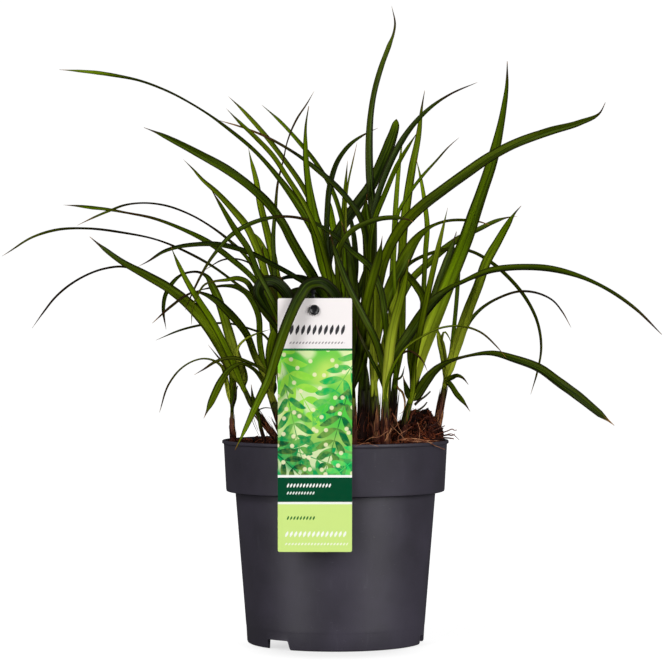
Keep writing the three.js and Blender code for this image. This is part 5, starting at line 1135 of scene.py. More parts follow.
# %% Pot finish
def pot_finish():
    """Anthracite polypropylene: a faint grey cloudiness, upright rub marks, fine scratches and some dust."""
    material, tree, shader = finish_base("anthracite_plastic", Specular_IOR_Level=0.5)
    place = object_place(tree)
    clouds = mottle(tree, place, 22, 0.3, 0.75, 4)
    grain = mottle(tree, place, 1500, 0.3, 0.8, 2)
    rubs = fibres(tree, place, (1, 1, 0.16), 260, 0.63, 0.8)
    scratches = fibres(tree, place, (0.2, 0.2, 1), 900, 0.7, 0.78)
    spots = mottle(tree, place, 420, 0.74, 0.78, 2)
    body = blend_colour(tree, clouds, linear("36333c"), linear("3f3b47"))
    worn = blend_colour(tree, times(tree, rubs, 0.3), body, linear("4b4952"))
    marked = blend_colour(tree, times(tree, scratches, 0.35), worn, linear("5b5962"))
    dusty = blend_colour(tree, times(tree, spots, 0.5), marked, linear("5f5b59"))
    tree.links.new(dusty, shader.inputs["Base Color"])
    rough = plus(tree, times(tree, clouds, 0.08), times(tree, rubs, 0.1))
    tree.links.new(plus(tree, rough, 0.4), shader.inputs["Roughness"])
    relief(tree, shader, minus(tree, grain, scratches), 0.25, 0.00008)
    return material


pot.name = pot.data.name = "nursery_pot"
pot.data.materials.append(pot_finish())
choose(pot)
bpy.ops.object.shade_smooth_by_angle(angle=math.radians(28))
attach(pot, "root")
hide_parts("pot")

# %% [markdown]
# ## The growing medium
#
# Peat and coconut fibre is a heap of dark crumbs, not a smooth lid. Under the crumbs lies a body that
# fills the pot: a section spun like the pot's, whose top rings are lifted to the height of the soil.
# The crumbs are one lumpy clod, copied a few thousand times with its own turn and size, thicker on the
# mound at the right. They are stacked into one mesh, because thousands of objects would be slow.

# %% Soil body
MOUND = dict(x=69.5, y=6, height=31, spread_x=16.5, spread_y=27)
SOIL_LEVEL = 167.6
# how far below the lip the medium meets the collar, and the slack between medium and pot
SOIL_RIM, SOIL_SLACK = 5.8, 0.4


def wobble(x, y, scale, seed):
    """A cheap smooth noise between -1 and 1."""
    total = 0
    for k in range(1, 5):
        a, b = math.sin(seed * 12.9 + k * 4.1) * 3, math.cos(seed * 7.7 + k * 2.3) * 3
        total = total + np.sin((x * math.cos(k) + y * math.sin(k)) / scale * k + a) * np.cos(
            (y * math.cos(1.7 * k) - x * math.sin(1.7 * k)) / scale * k + b) / k
    return total / 2


# x, y, height and spread of the lumps that the mound is heaped from
LUMPS = [
    (MOUND["x"], MOUND["y"], MOUND["height"] - 6, MOUND["spread_x"], MOUND["spread_y"]),
    (84, -14, 7, 7, 12), (88, -22, 12, 5, 8), (58, -20, 4, 8, 9), (77, -8, 3.5, 3, 5), (63, -12, 2.5, 3, 4),
]


def soil_height(x, y):
    """How high the medium stands: level, heaped where the lumps are, a little lower near the rim."""
    heap = sum(h * np.exp(-0.5 * (((x - a) / u) ** 2 + ((y - b) / w) ** 2)) for a, b, h, u, w in LUMPS)
    u = np.clip((np.hypot(x, y) - 78) / 14, 0, 1)
    edge = u * u * (3 - 2 * u)
    bump = np.sin(x * 0.31 + y * 0.17) * np.cos(y * 0.27 - x * 0.11)
    return SOIL_LEVEL + heap * (1 - 0.55 * edge) + 0.9 * bump - 0.8 * edge


SOIL_RINGS = (89, 86, 83, 80, 77, 74, 70, 66, 62, 58, 54, 50, 45, 40, 35, 30, 25, 20, 15, 10, 5)
SOIL_SECTION = [
    (HUB_RADIUS, 1.8), (PAD_RADIUS - 1.8, 1.8), (PAD_RADIUS + 0.2, FLOOR + WALL + SOIL_SLACK),
    (BASE_RADIUS - WALL - SOIL_SLACK, FLOOR + WALL + SOIL_SLACK),
    (BODY_RADIUS - WALL - SOIL_SLACK, COLLAR_FOOT + 0.6),
    (COLLAR_FOOT_RADIUS - WALL - SOIL_SLACK, COLLAR_FOOT + 4),
    (COLLAR_RADIUS - WALL - SOIL_SLACK, POT_HEIGHT - SOIL_RIM),
] + [(r, SOIL_LEVEL) for r in SOIL_RINGS]
soil = spun_body(SOIL_SECTION, 120)
co = np.empty(len(soil.data.vertices) * 3)
soil.data.vertices.foreach_get("co", co)
co = co.reshape(-1, 3) / MM
# the rings above the one that meets the collar
top = co[:, 2] > POT_HEIGHT - SOIL_RIM + 1
x, y = co[top, 0], co[top, 1]
co[top, 2] = soil_height(x, y) + 0.7 * wobble(x, y, 4, 1) + 0.9 * wobble(x, y, 9, 2)
soil.data.vertices.foreach_set("co", (co * MM).ravel())
soil.data.update()

# %% Crumbs
CRUMBS = 8200
# how far from the pot's axis the middle and the outside of a crumb may lie
CRUMB_REACH, CRUMB_LIMIT = 91, 92.4
deselect()
bpy.ops.mesh.primitive_ico_sphere_add(subdivisions=1, radius=1)
clod = bpy.context.object
clod_points = np.array([v.co[:] for v in clod.data.vertices])
clod_faces = np.array([list(p.vertices) for p in clod.data.polygons])
bpy.data.objects.remove(clod)


def turned(points, r):
    """Points turned by a random rotation."""
    q = r.normal(size=4)
    w, a, b, c = q / np.linalg.norm(q)
    m = np.array([
        [1 - 2 * (b * b + c * c), 2 * (a * b - c * w), 2 * (a * c + b * w)],
        [2 * (a * b + c * w), 1 - 2 * (a * a + c * c), 2 * (b * c - a * w)],
        [2 * (a * c - b * w), 2 * (b * c + a * w), 1 - 2 * (a * a + b * b)]])
    return points @ m.T


soil_rng = np.random.default_rng(7)
points, faces = [], []
for n in range(CRUMBS):
    if n % 2:
        x, y = soil_rng.normal((MOUND["x"] - 4, MOUND["y"] - 14), (17, 24))
    else:
        radius, angle = CRUMB_REACH * math.sqrt(soil_rng.random()), 2 * math.pi * soil_rng.random()
        x, y = radius * math.cos(angle), radius * math.sin(angle)
    if math.hypot(x, y) > CRUMB_REACH:
        continue
    size = float(np.clip(soil_rng.lognormal(-0.45, 0.5), 0.25, 2.6))
    if math.hypot(x, y) + size > CRUMB_LIMIT:
        continue
    lump = clod_points * (1 + 0.3 * soil_rng.normal(size=(12, 1))) * [1.3, 0.9, 0.7]
    z = float(soil_height(np.array(x), np.array(y)))
    faces.append(clod_faces + 12 * len(points))
    points.append(turned(lump, soil_rng) * size + [x, y, z + size * (0.1 + 0.5 * soil_rng.random())])
crumb_mesh = bpy.data.meshes.new("crumbs")
crumb_mesh.from_pydata((np.concatenate(points) * MM).tolist(), [], np.concatenate(faces).tolist())
crumbs = bpy.data.objects.new("crumbs", crumb_mesh)
bpy.context.collection.objects.link(crumbs)
print("crumbs:", len(points))


# %% Soil finish
def soil_finish():
    """Damp peat, dark brown with rusty specks."""
    material, tree, shader = finish_base("peat_and_coir", Specular_IOR_Level=0.15)
    place = object_place(tree)
    clouds = mottle(tree, place, 90, 0.35, 0.65, 5)
    specks = mottle(tree, place, 520, 0.6, 0.7, 3)
    dark = blend_colour(tree, clouds, linear("140705"), linear("42190c"))
    rusty = blend_colour(tree, times(tree, specks, 0.5), dark, linear("8a3c1a"))
    tree.links.new(rusty, shader.inputs["Base Color"])
    tree.links.new(plus(tree, times(tree, clouds, 0.2), 0.72), shader.inputs["Roughness"])
    relief(tree, shader, mottle(tree, place, 900, 0.2, 0.8, 4), 0.8, 0.0006)
    return material


SOIL = soil_finish()
medium = join([soil, crumbs], "peat_and_coir")
medium.data.materials.append(SOIL)
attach(medium, "root")
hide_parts("growing_medium")

# %% [markdown]
# ## Roots, coir and hairs
#
# Fine threads of coir cross the medium, paler roots come out of it and one hangs over the rim, and a
# few dark curly ends of coir stick out beside the mound. A thread is a curve with a round bevel,
# because a curve keeps its thickness round every bend. The threads of one kind share one curve object,
# which is then made a mesh.


# %% Threads
def threads(name, lines, material):
    """Threads through lists of points (x, y, z) in millimetres, each with its own thickness."""
    curve = bpy.data.curves.new(name, "CURVE")
    curve.dimensions = "3D"
    curve.bevel_depth = 0.5 * MM
    curve.bevel_resolution = 1
    curve.resolution_u = 5
    curve.use_fill_caps = True
    for points, thickness in lines:
        spline = curve.splines.new("NURBS")
        spline.points.add(len(points) - 1)
        spline.use_endpoint_u = True
        spline.order_u = 3
        for k, (target, p) in enumerate(zip(spline.points, points)):
            target.co = (p[0] * MM, p[1] * MM, p[2] * MM, 1)
            target.radius = thickness * (1 - 0.6 * k / len(points))
    thread = bpy.data.objects.new(name, curve)
    bpy.context.collection.objects.link(thread)
    choose(thread)
    bpy.ops.object.convert(target="MESH")
    thread = bpy.context.object
    bpy.ops.object.mode_set(mode="EDIT")
    bpy.ops.mesh.select_all(action="SELECT")
    bpy.ops.mesh.remove_doubles(threshold=0.001 * MM)
    bpy.ops.object.mode_set(mode="OBJECT")
    thread.name = thread.data.name = name
    thread.data.materials.clear()
    thread.data.materials.append(material)
    bpy.ops.object.shade_smooth()
    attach(thread, "root")
    return thread


def root_finish(name, pale, brown):
    """A dull thread, mottled between two browns."""
    material, tree, shader = finish_base(name, Roughness=0.6, Specular_IOR_Level=0.3)
    place = object_place(tree)
    tone = mottle(tree, place, 160, 0.35, 0.65, 3)
    tree.links.new(blend_colour(tree, tone, linear(pale), linear(brown)), shader.inputs["Base Color"])
    relief(tree, shader, mottle(tree, place, 2500, 0.3, 0.7), 0.3, 0.0001)
    return material


ROOT = root_finish("coir_thread", "90461f", "4c1d0c")
PALE_ROOT = root_finish("pale_root", "c98f66", "85492b")
THREADS, ROUND_THE_MOUND = 300, 210
# how far from the pot's axis a thread may reach, and how long one of its steps is
THREAD_REACH, THREAD_STEP = 90.5, 3.6
thread_rng = np.random.default_rng(23)
lines = []
for n in range(THREADS):
    if n < ROUND_THE_MOUND:
        x, y = thread_rng.normal((60, -42), (22, 22))
    else:
        x, y = thread_rng.uniform(-80, 85), thread_rng.uniform(-75, 65)
    heading, points = thread_rng.uniform(0, 2 * math.pi), []
    arch = thread_rng.uniform(0.5, 3.5)
    count = int(thread_rng.integers(4, 8))
    for k in range(count):
        if math.hypot(x, y) > THREAD_REACH:
            break
        z = float(soil_height(np.array(x), np.array(y)))
        points.append((x, y, z + 0.7 + arch * math.sin(math.pi * k / (count - 1))))
        heading += thread_rng.normal(0, 0.75)
        x, y = x + THREAD_STEP * math.cos(heading), y + THREAD_STEP * math.sin(heading)
    if len(points) > 2:
        lines.append((points, thread_rng.uniform(0.2, 0.62)))
threads("coir_threads", lines, ROOT)

# %% Single roots
# x, y, z points of the roots that leave the medium, and their thickness in millimetres
LOOSE_ROOTS = [
    ([(50, -66, 172), (58, -70, 174.5), (66, -66, 173.6), (72, -62.5, 172.6), (76, -59.5, 171),
      (80.5, -53, 168), (86.5, -43, 165.3), (91, -32.5, 163.2)], 0.8),
    ([(46, -62, 171), (55, -70, 173), (66, -68, 172.6), (77, -58, 171.6), (86, -44, 171)], 0.5),
    ([(56, -60, 173), (62, -70, 171.2), (71, -66, 171.4), (80, -61, 170.2)], 0.5),
    ([(12, -84, 169), (20, -91, 171), (28, -94.6, 171), (35, -94.6, 168.4)], 0.4),
    ([(24, -80, 169), (30, -88, 172), (22, -94.4, 171.2), (16, -96, 168.8)], 0.35),
    ([(70, -40, 178), (77, -44, 183), (74, -48, 187)], 0.35),
    ([(58, -52, 172), (50, -60, 180), (44, -64, 186), (41, -66, 193)], 0.45),
    ([(36, -62, 169), (44, -66, 178), (52, -64, 186)], 0.4),
    ([(46, -74, 195), (50, -75, 190), (51, -76, 184), (55, -77, 178), (54, -77, 171)], 0.5),
    ([(52, -78, 171), (50, -78, 175), (54, -78, 179), (58, -77, 181), (62, -77, 184)], 0.45),
    ([(67, -70, 187), (69, -72, 182), (68.5, -74, 177), (68, -74, 172)], 0.45),
    ([(24, -80, 172), (29, -82, 176), (35, -80, 175), (40, -79, 179), (44, -79, 181)], 0.45),
    ([(40, -78, 172), (43, -79, 177), (46, -80, 183)], 0.7),
]
# x, y, z points of the curly ends of coir that stick out over the rim, and their thickness
COIR_ENDS = [
    ([(82, -30, 175), (90, -31, 177.5), (94, -32, 179), (97, -32, 180.5), (99, -32, 178.8),
      (101, -32, 179.5)], 1.4),
    ([(83, -28, 174), (91, -29, 175), (96, -29, 176.5), (99, -29, 175), (101, -29, 173),
      (103, -29, 171)], 1.0),
    ([(86, -24, 173), (94, -26, 175.8), (97, -27, 174), (99.5, -27, 176)], 1.5),
    ([(80, -32, 178), (86, -32, 181), (91, -32, 183)], 1.3),
    ([(86, -20, 172), (95, -22, 173), (99, -22, 171.5)], 1.6),
    ([(84, -26, 172), (92, -27, 173.5), (96.5, -27, 172)], 1.8),
    ([(78, -34, 182), (84, -33, 185), (87, -33, 187.5)], 1.0),
]
DARK_COIR = root_finish("dark_coir", "71351c", "34160b")
threads("loose_roots", LOOSE_ROOTS, PALE_ROOT)
threads("coir_ends", COIR_ENDS, DARK_COIR)

# %% [markdown]
# ## The basal sheaths
#
# The foot of each shoot is wrapped in the dry bases of old leaves: red-brown bracts with ragged tips,
# one over the other. Each bract is a small grid, curled round the shoot, cut to a point and thickened.
# Thin strands stand off from them, and a few short dead points stick out.


# %% Bract finish
def bract_finish():
    """Dry leaf base: near black to red-brown, with tan ragged ends and painted shade deep in the clump. The
    attribute holds age, height on the bract and the unshaded share.
    """
    material, tree, shader = finish_base("dry_bract", Specular_IOR_Level=0.12)
    place = object_place(tree)
    age, _, unshaded = painted(tree, "bract")
    strands = fibres(tree, place, (1, 1, 0.06), 1400, 0.35, 0.65)
    patches = mottle(tree, place, 200, 0.35, 0.65, 3)
    dark = blend_colour(tree, patches, linear("1a0a09"), linear("401913"))
    tan = blend_colour(tree, strands, linear("5c2d1c"), linear("b27a50"))
    uneven = times(tree, minus(tree, strands, 0.5), 0.4)
    aged = smooth_step(tree, plus(tree, age, uneven), 0.45, 1.1)
    stranded = blend_colour(tree, times(tree, strands, 0.4), dark, linear("5c2d1b"))
    worn = blend_colour(tree, aged, stranded, tan)
    # painted shade: bracts deep in the clump are blended towards near black
    tree.links.new(blend_colour(tree, unshaded, linear("0d0504"), worn), shader.inputs["Base Color"])
    tree.links.new(plus(tree, times(tree, strands, 0.15), 0.6), shader.inputs["Roughness"])
    relief(tree, shader, strands, 0.7, 0.0003)
    return material


BRACT = bract_finish()


# %% Bract geometry
BRACT_COLUMNS, BRACT_ROWS = 8, 9


def point_at_height(path, z):
    """Where a stem's path is at a height."""
    return np.array([np.interp(z, path[:, 2], path[:, c]) for c in range(3)])


def bract(path, low, high, facing, spread, inner, flare, drift, tone, unshaded, pale_foot):
    """One dry leaf base round a shoot: heights and radii in millimetres, angles in radians."""
    deselect()
    bpy.ops.mesh.primitive_grid_add(x_subdivisions=BRACT_COLUMNS, y_subdivisions=BRACT_ROWS, size=1,
                                    location=(0, 0, 0))
    piece = bpy.context.object
    colours = []
    for v in piece.data.vertices:
        u, w = v.co.x * 2, v.co.y + 0.5
        ragged = w * (1 + 0.12 * math.sin(11 * u + 3 * facing))
        narrow = (1 - min(1, w) ** 1.7) ** 0.8 * 0.96 + 0.04
        angle = facing + u * spread * narrow + drift * w * w
        radius = inner + flare * w ** 2.5 + 0.1 * math.sin(9 * u + 5 * w + facing)
        centre = point_at_height(path, low + (high - low) * ragged)
        sideways = (centre[0] + radius * math.cos(angle), centre[1] + radius * math.sin(angle))
        v.co = Vector((*sideways, centre[2])) * MM
        shade = tone * (0.4 + 0.6 * w) + 0.35 * w ** 4 + pale_foot * (1 - min(1, w)) ** 1.5
        colours.append((shade, w, unshaded, 1))
    look = piece.data.color_attributes.new("bract", "FLOAT_COLOR", "POINT")
    look.data.foreach_set("color", np.array(colours).ravel())
    return piece


# %% Wrap the shoots
BRACT_SHARES = (1.0, 0.9, 0.75, 1.05, 0.6, 0.45, 0.85, 0.35)
# short dead points that stand out from the bases
SPIKES = [
    ([(66, -24, 200), (70.5, -24, 204.5), (75, -24, 207), (79.3, -24, 211.4)], 2.6),
    ([(67, -22, 194), (71.4, -22, 197), (74.5, -22, 199.4), (76.5, -22, 202.4)], 2.2),
    ([(88.5, -9, 202.5), (91.5, -9.5, 205), (93, -10, 208.2)], 1.4),
    ([(-64, -30, 196), (-60, -31, 198), (-55, -31, 197.8), (-50, -31, 197)], 1.3),
    ([(-87, -22, 198), (-84, -23, 206), (-81.5, -23, 216)], 1.3),
    ([(-69, -40, 188), (-66, -42, 180), (-62, -42, 173)], 0.5),
]
sheath_rng = np.random.default_rng(11)
strands = []
BRACT_POINT = root_finish("dead_point", "3a3a12", "26120a")
for shoot_name, shoot in SHOOTS.items():
    path = stem_path(shoot)
    bottom = path[1][2] - 6
    top = along_sight(np.array([0]), np.array([shoot["sheath"]]), np.array([shoot["y"]]))[0][2]
    parts = []
    bare = shoot_name in BARE_FEET
    # painted shade by depth: the further back a shoot stands, the darker its bracts are painted
    unshaded = 0.95 if bare else np.interp(shoot["y"], [-60, -10], [1, 0.25])
    stand_off, pale = BARE_FEET.get(shoot_name, (1, 0))
    for k, share in enumerate(BRACT_SHARES):
        high = min(bottom + (top - bottom) * share * sheath_rng.uniform(0.85, 1.1), path[-1][2] + 4)
        if shoot_name in GREEN_FEET:
            high = bottom + 0.55 * (high - bottom)
        parts.append(bract(
            path, bottom, high, 2.4 * k + sheath_rng.uniform(0, 0.9), sheath_rng.uniform(0.7, 1.3),
            shoot["r"] + 0.3 + 0.1 * k, sheath_rng.uniform(0.0, 1.1) * stand_off,
            sheath_rng.normal(0, 0.35), sheath_rng.uniform(0, 0.9) + 0.3 * bare, unshaded, pale))
    sheath = join(parts, f"sheath_{shoot_name[1:]}")
    sheath.data.materials.append(BRACT)
    apply_modifier(sheath, "SOLIDIFY", thickness=0.25 * MM, offset=0)
    bpy.ops.object.shade_smooth()
    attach(sheath, "root")
    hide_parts(f"shoot_{shoot_name[1:]}_sheath")
    for _ in range(6):
        z = bottom + sheath_rng.uniform(6, 16)
        angle, radius = sheath_rng.uniform(0, 2 * math.pi), shoot["r"] + 1.4
        line = []
        for k in range(5):
            c = point_at_height(path, z)
            line.append((c[0] + radius * math.cos(angle), c[1] + radius * math.sin(angle), z))
            z += sheath_rng.uniform(1.5, 5)
            angle += sheath_rng.normal(0, 0.3)
            radius += sheath_rng.uniform(0, 1.1)
        thickness = sheath_rng.uniform(0.2, 0.5)
        if not bare:
            strands.append((line, thickness))
threads("bract_strands", strands, ROOT)
threads("dead_points", SPIKES, BRACT_POINT)

# %% [markdown]
# ## The hang card and its stake
#
# The card is a punched and printed plastic sheet. Its print is only colour, so it is painted by the
# finish: plain bands, rows of small leaf shapes, and a picture area with leafy sprigs and round dots.
# The stake is a black moulded strip behind the card, with a round stud that the card hangs from.

# %% Card body
CARD = dict(left=-46.6, right=13.4, bottom=83.5, top=288.4, back=-95.8, thickness=0.8)
CARD_CORNER = 1.5
STUD = dict(x=-17, z=279, pin=1.7)
deselect()
bpy.ops.mesh.primitive_cube_add(
    size=1,
    location=((CARD["left"] + CARD["right"]) / 2 * MM, (CARD["back"] - CARD["thickness"] / 2) * MM,
              (CARD["bottom"] + CARD["top"]) / 2 * MM),
    scale=((CARD["right"] - CARD["left"]) * MM, CARD["thickness"] * MM, (CARD["top"] - CARD["bottom"]) * MM))
card = bpy.context.object
bpy.ops.object.transform_apply(location=True, rotation=True, scale=True)
bpy.ops.object.mode_set(mode="EDIT")
bpy.ops.mesh.select_mode(type="EDGE")
bpy.ops.mesh.select_all(action="DESELECT")
bpy.ops.object.mode_set(mode="OBJECT")
for e in card.data.edges:
    a, b = (card.data.vertices[v].co for v in e.vertices)
    e.select = abs(a.y - b.y) > 0.5 * CARD["thickness"] * MM
bpy.ops.object.mode_set(mode="EDIT")
bpy.ops.mesh.bevel(offset=CARD_CORNER * MM, segments=6, affect="EDGES")
leave_edit()
deselect()
bpy.ops.mesh.primitive_cylinder_add(
    vertices=40, radius=(STUD["pin"] + GAP) * MM, depth=10 * MM, rotation=(math.pi / 2, 0, 0),
    location=(STUD["x"] * MM, CARD["back"] * MM, STUD["z"] * MM))
cut(card, bpy.context.object)
apply_modifier(card, "BEVEL", width=0.12 * MM, segments=2, limit_method="ANGLE")
print("card faces:", len(card.data.polygons))


# %% Pattern groups for the print
def within(tree, value, low, high):
    """One between two levels, zero elsewhere."""
    return times(tree, maths(tree, "GREATER_THAN", value, low), maths(tree, "LESS_THAN", value, high))


def bulge(tree, value, top, fall):
    """A parabola that falls on both sides of zero."""
    return minus(tree, top, times(tree, maths(tree, "POWER", absolute(tree, value), 2.0), fall))


def leaf_row_group():
    """A row of slanted leaf shapes: u runs to the right, v runs down, both in millimetres."""
    tree, i, o = new_group("leaf_row", U=0.0, V=0.0, Left=0.0, Right=10.0, Level=0.0, Height=5.0, Pitch=4.0)
    down = maths(tree, "DIVIDE", minus(tree, i["V"], i["Level"]), i["Height"])
    sheared = plus(tree, i["U"], times(tree, down, times(tree, i["Pitch"], 0.5)))
    start = minus(tree, sheared, i["Left"])
    cell = minus(tree, maths(tree, "FRACT", maths(tree, "DIVIDE", start, i["Pitch"])), 0.5)
    shape = maths(tree, "LESS_THAN", absolute(tree, cell), bulge(tree, down, 0.3, 1.2))
    tree.links.new(times(tree, shape, within(tree, sheared, i["Left"], i["Right"])), o["Mask"])
    return tree


def sprig_group():
    """A sprig with paired leaflets along a straight stalk, turned by an angle."""
    tree, i, o = new_group("sprig", U=0.0, V=0.0, Centre_U=30.0, Centre_V=90.0, Angle=0.0, Reach=30.0,
                           Leaflet=12.0, Pitch=8.0)
    u = minus(tree, i["U"], i["Centre U"])
    v = minus(tree, i["V"], i["Centre V"])
    cosine, sine = maths(tree, "COSINE", i["Angle"]), maths(tree, "SINE", i["Angle"])
    stalk = plus(tree, times(tree, u, cosine), times(tree, v, sine))
    side = absolute(tree, minus(tree, times(tree, v, cosine), times(tree, u, sine)))
    taper = bulge(tree, maths(tree, "DIVIDE", stalk, i["Reach"]), 1.0, 1.0)
    length = maths(tree, "MAXIMUM", times(tree, i["Leaflet"], taper), 0.1)
    out = maths(tree, "DIVIDE", side, length)
    swept = minus(tree, stalk, times(tree, side, 0.8))
    cell = absolute(tree, minus(tree, maths(tree, "FRACT", maths(tree, "DIVIDE", swept, i["Pitch"])), 0.5))
    belly = bulge(tree, minus(tree, out, 0.5), 0.36, 1.5)
    leaflets = times(tree, maths(tree, "LESS_THAN", cell, belly), maths(tree, "LESS_THAN", out, 1.0))
    stem = times(tree, maths(tree, "LESS_THAN", side, 0.35), maths(tree, "GREATER_THAN", taper, 0.0))
    tree.links.new(maths(tree, "MAXIMUM", leaflets, stem), o["Mask"])
    return tree


LEAF_ROW, SPRIG = leaf_row_group(), sprig_group()

# %% Card print
# from the top down: where a band starts and ends, in millimetres below the card's top edge, its colour
BANDS = [
    (40.6, 42.4, "2c7a44"), (142.7, 144.8, "f4f6f0"), (144.8, 164.5, "00462a"), (164.5, 166.3, "f4f6f0"),
    (166.3, 999, "cfe986"),
]
# centre, angle, reach, length of the leaflets, pitch and colour of each sprig, in millimetres and radians
SPRIGS = [
    (12, 66, 1.05, 44, 17, 12, "8fdc46"), (50, 70, 2.15, 40, 16, 11, "1fb457"),
    (26, 128, 0.35, 42, 17, 12, "0b9a50"), (14, 106, 1.35, 38, 15, 10, "0a8a48"),
    (47, 110, 1.85, 40, 15, 10, "066a38"), (2, 128, 0.75, 34, 14, 9, "064f2c"),
    (60, 132, 2.45, 32, 14, 9, "2ccb62"),
]
# left, right, level, height and pitch of each row of ornament, and its colour
ROWS = [
    (9, 54, 25.5, 8.6, 4.6, "3c3a3d"), (9, 54, 36, 2.2, 2.6, "a8a2a3"), (7, 43, 151.2, 3.6, 2.6, "f4f6f0"),
    (7, 30, 157.3, 2.8, 2.3, "dfe8df"), (7, 31, 177.5, 3.4, 2.6, "3f7a36"),
    (5.5, 56.5, 190.5, 5.0, 3.6, "f6f9ec"), (5.5, 56.5, 198.5, 2.2, 2.6, "f0f6da"),
]


def card_finish():
    """Plain bands, a picture area with sprigs and soft spots of light, and rows of plain ornament."""
    material, tree, shader = finish_base("printed_card", Specular_IOR_Level=0.15)
    place = object_place(tree)
    x, y, z = add(tree, "ShaderNodeSeparateXYZ", Vector=place).outputs
    u = times(tree, minus(tree, x, CARD["left"] * MM), 1 / MM)
    v = times(tree, minus(tree, CARD["top"] * MM, z), 1 / MM)
    # the picture: a glowing ground, darker lower down, with pale clouds, sprigs and dots
    glow = mottle(tree, place, 26, 0.35, 0.65, 1)
    picture = blend_colour(tree, glow, linear("52c846"), linear("d8f070"))
    picture = blend_colour(tree, smooth_step(tree, v, 90, 140), picture, linear("0f9c52"))
    clouds = times(tree, mottle(tree, place, 60, 0.52, 0.7, 0), 0.7)
    picture = blend_colour(tree, clouds, picture, linear("f1f5c4"))
    for centre_u, centre_v, angle, reach, leaflet, pitch, code in SPRIGS:
        mask = use_group(tree, SPRIG, U=u, V=v, Centre_U=centre_u, Centre_V=centre_v, Angle=angle,
                         Reach=reach, Leaflet=leaflet, Pitch=pitch)
        shaded = blend_colour(tree, mottle(tree, place, 150, 0.35, 0.65, 2), linear(code), linear("c6ee5e"))
        picture = blend_colour(tree, mask, picture, blend_colour(tree, 0.72, shaded, linear(code)))
    flat = add(tree, "ShaderNodeCombineXYZ", X=u, Y=v).outputs[0]
    spots = add(tree, "ShaderNodeTexVoronoi", {"voronoi_dimensions": "2D"}, Vector=flat, Scale=0.085)
    dots = times(tree, smooth_step(tree, spots.outputs["Distance"], 0.17, 0.12), 0.8)
    picture = blend_colour(tree, dots, picture, linear("f3eec2"))
    # the white head of the card, its bands and its rows of ornament
    head = maths(tree, "LESS_THAN", v, BANDS[0][0])
    colour = blend_colour(tree, head, picture, linear("f7f1f0"))
    for start, end, code in BANDS:
        colour = blend_colour(tree, within(tree, v, start, end), colour, linear(code))
    for left, right, line, height, pitch, code in ROWS:
        mask = use_group(tree, LEAF_ROW, U=u, V=v, Left=left, Right=right, Level=line, Height=height,
                         Pitch=pitch)
        colour = blend_colour(tree, mask, colour, linear(code))
    # only the front is printed
    front = maths(tree, "LESS_THAN", y, (CARD["back"] - 0.85 * CARD["thickness"]) * MM)
    tree.links.new(blend_colour(tree, front, linear("e8e6e2"), colour), shader.inputs["Base Color"])
    scuffs = mottle(tree, place, 240, 0.4, 0.7, 4)
    tree.links.new(plus(tree, times(tree, scuffs, 0.12), 0.34), shader.inputs["Roughness"])
    relief(tree, shader, scuffs, 0.15, 0.00005)
    return material


card.name = card.data.name = "printed_hang_card"
card.data.materials.append(card_finish())
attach(card, "root")
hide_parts("hang_card")

# %% Stake and stud
# The stake is a strip that is extruded section by section up the back of the card. x, y, z of the
# middle of each section, then its width and thickness.
STAKE = [
    (-18.2, -87.0, 134, 1.6, 0.8), (-18.2, -87.0, 140, 5.6, 1.4), (-18.2, -87.0, 146, 6.4, 1.5),
    (-18.2, -87.0, 178, 6.4, 1.5), (-18.2, -89.4, 192, 6.4, 1.5), (-18.2, -94.1, 226, 6.4, 1.4),
    (-18.2, -94.75, 234, 6.4, 1.4), (-18.2, -94.75, 284, 6.4, 1.4), (-18.2, -94.75, 287.6, 5.4, 1.4),
    (-18.2, -94.75, 289.4, 3.6, 1.3), (-18.2, -94.75, 290.6, 2.2, 1.1), (-18.2, -94.75, 291.8, 2.2, 1.1),
    (-18.2, -94.75, 292.8, 3.6, 1.4), (-18.2, -94.75, 294.4, 4.2, 1.4), (-18.2, -94.75, 295.6, 3.2, 1.2),
    (-18.2, -94.75, 296, 1.8, 0.7),
]
deselect()
cx, cy, cz, width, thickness = STAKE[0]
bpy.ops.mesh.primitive_plane_add(size=1, location=(cx * MM, cy * MM, cz * MM))
stake = bpy.context.object
bpy.ops.object.transform_apply(location=True, rotation=True, scale=True)
for v in stake.data.vertices:
    right = math.copysign(width / 2, v.co.x - cx * MM)
    back = math.copysign(thickness / 2, v.co.y - cy * MM)
    v.co = Vector((cx + right, cy + back, cz)) * MM
bpy.ops.object.mode_set(mode="EDIT")
bpy.ops.mesh.select_all(action="SELECT")
for (ax, ay, az, aw, at), (bx, by, bz, bw, bt) in zip(STAKE, STAKE[1:]):
    extrude_step((bx - ax, by - ay, bz - az), (bw / aw, bt / at, 1), (bx, by, bz))
leave_edit()
apply_modifier(stake, "BEVEL", width=0.3 * MM, segments=3, limit_method="ANGLE")

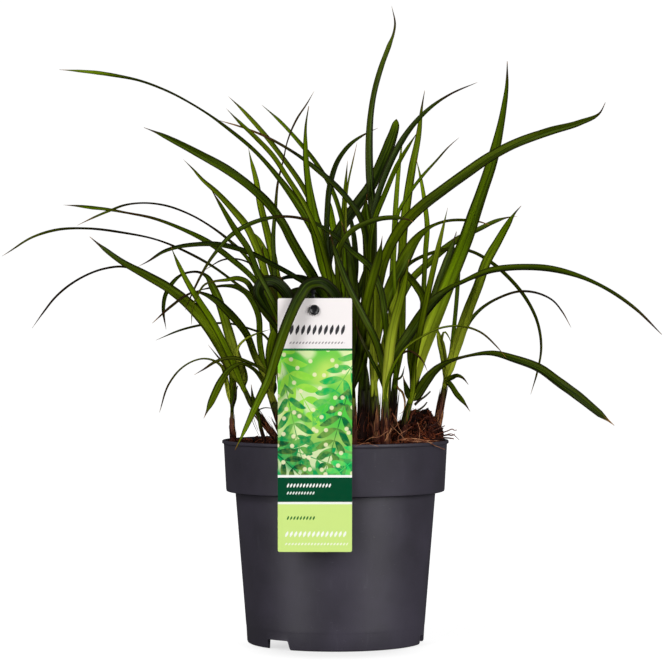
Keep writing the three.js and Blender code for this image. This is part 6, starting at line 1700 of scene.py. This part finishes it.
# The stud is a short pin with a dished head: a circle that is extruded towards the viewer. Radius of
# each ring, and how far it lies behind the back of the card.
STUD_SECTION = [
    (1.7, 0.6), (1.7, -1.1), (3.8, -1.1), (4.2, -1.4), (4.2, -2.3), (3.9, -2.8), (3.3, -3.0), (2.6, -2.6),
    (1.6, -2.35), (0.5, -2.3),
]
deselect()
card_back = CARD["back"]
bpy.ops.mesh.primitive_circle_add(
    vertices=36, radius=STUD_SECTION[0][0] * MM, fill_type="NGON", rotation=(math.pi / 2, 0, 0),
    location=(STUD["x"] * MM, (card_back + STUD_SECTION[0][1]) * MM, STUD["z"] * MM))
stud = bpy.context.object
bpy.ops.object.transform_apply(location=True, rotation=True, scale=True)
bpy.ops.object.mode_set(mode="EDIT")
bpy.ops.mesh.select_all(action="SELECT")
for (r0, y0), (r1, y1) in zip(STUD_SECTION, STUD_SECTION[1:]):
    extrude_step((0, y1 - y0, 0), (r1 / r0, 1, r1 / r0), (STUD["x"], card_back + y1, STUD["z"]))
leave_edit()
apply_modifier(stud, "BEVEL", width=0.12 * MM, segments=2, limit_method="ANGLE")


# %% Stake finish
def stake_finish():
    """Black gloss plastic, a little dull where it has been handled."""
    material, tree, shader = finish_base("black_gloss_plastic", Specular_IOR_Level=0.5)
    place = object_place(tree)
    handled = mottle(tree, place, 300, 0.3, 0.7)
    streaks = fibres(tree, place, (1, 1, 0.1), 900, 0.55, 0.8)
    black = blend_colour(tree, times(tree, streaks, 0.3), linear("131317"), linear("2c2c33"))
    tree.links.new(black, shader.inputs["Base Color"])
    tree.links.new(plus(tree, times(tree, handled, 0.2), 0.18), shader.inputs["Roughness"])
    relief(tree, shader, streaks, 0.15, 0.00005)
    return material


holder = join([stake, stud], "card_holder")
holder.data.materials.append(stake_finish())
bpy.ops.object.shade_smooth_by_angle(angle=math.radians(35))
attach(holder, "root")
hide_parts("card_stake")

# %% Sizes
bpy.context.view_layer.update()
meshes = [o.data for o in bpy.data.objects if o.type == "MESH"]
print("triangles:", sum(len(p.vertices) - 2 for mesh in meshes for p in mesh.polygons))
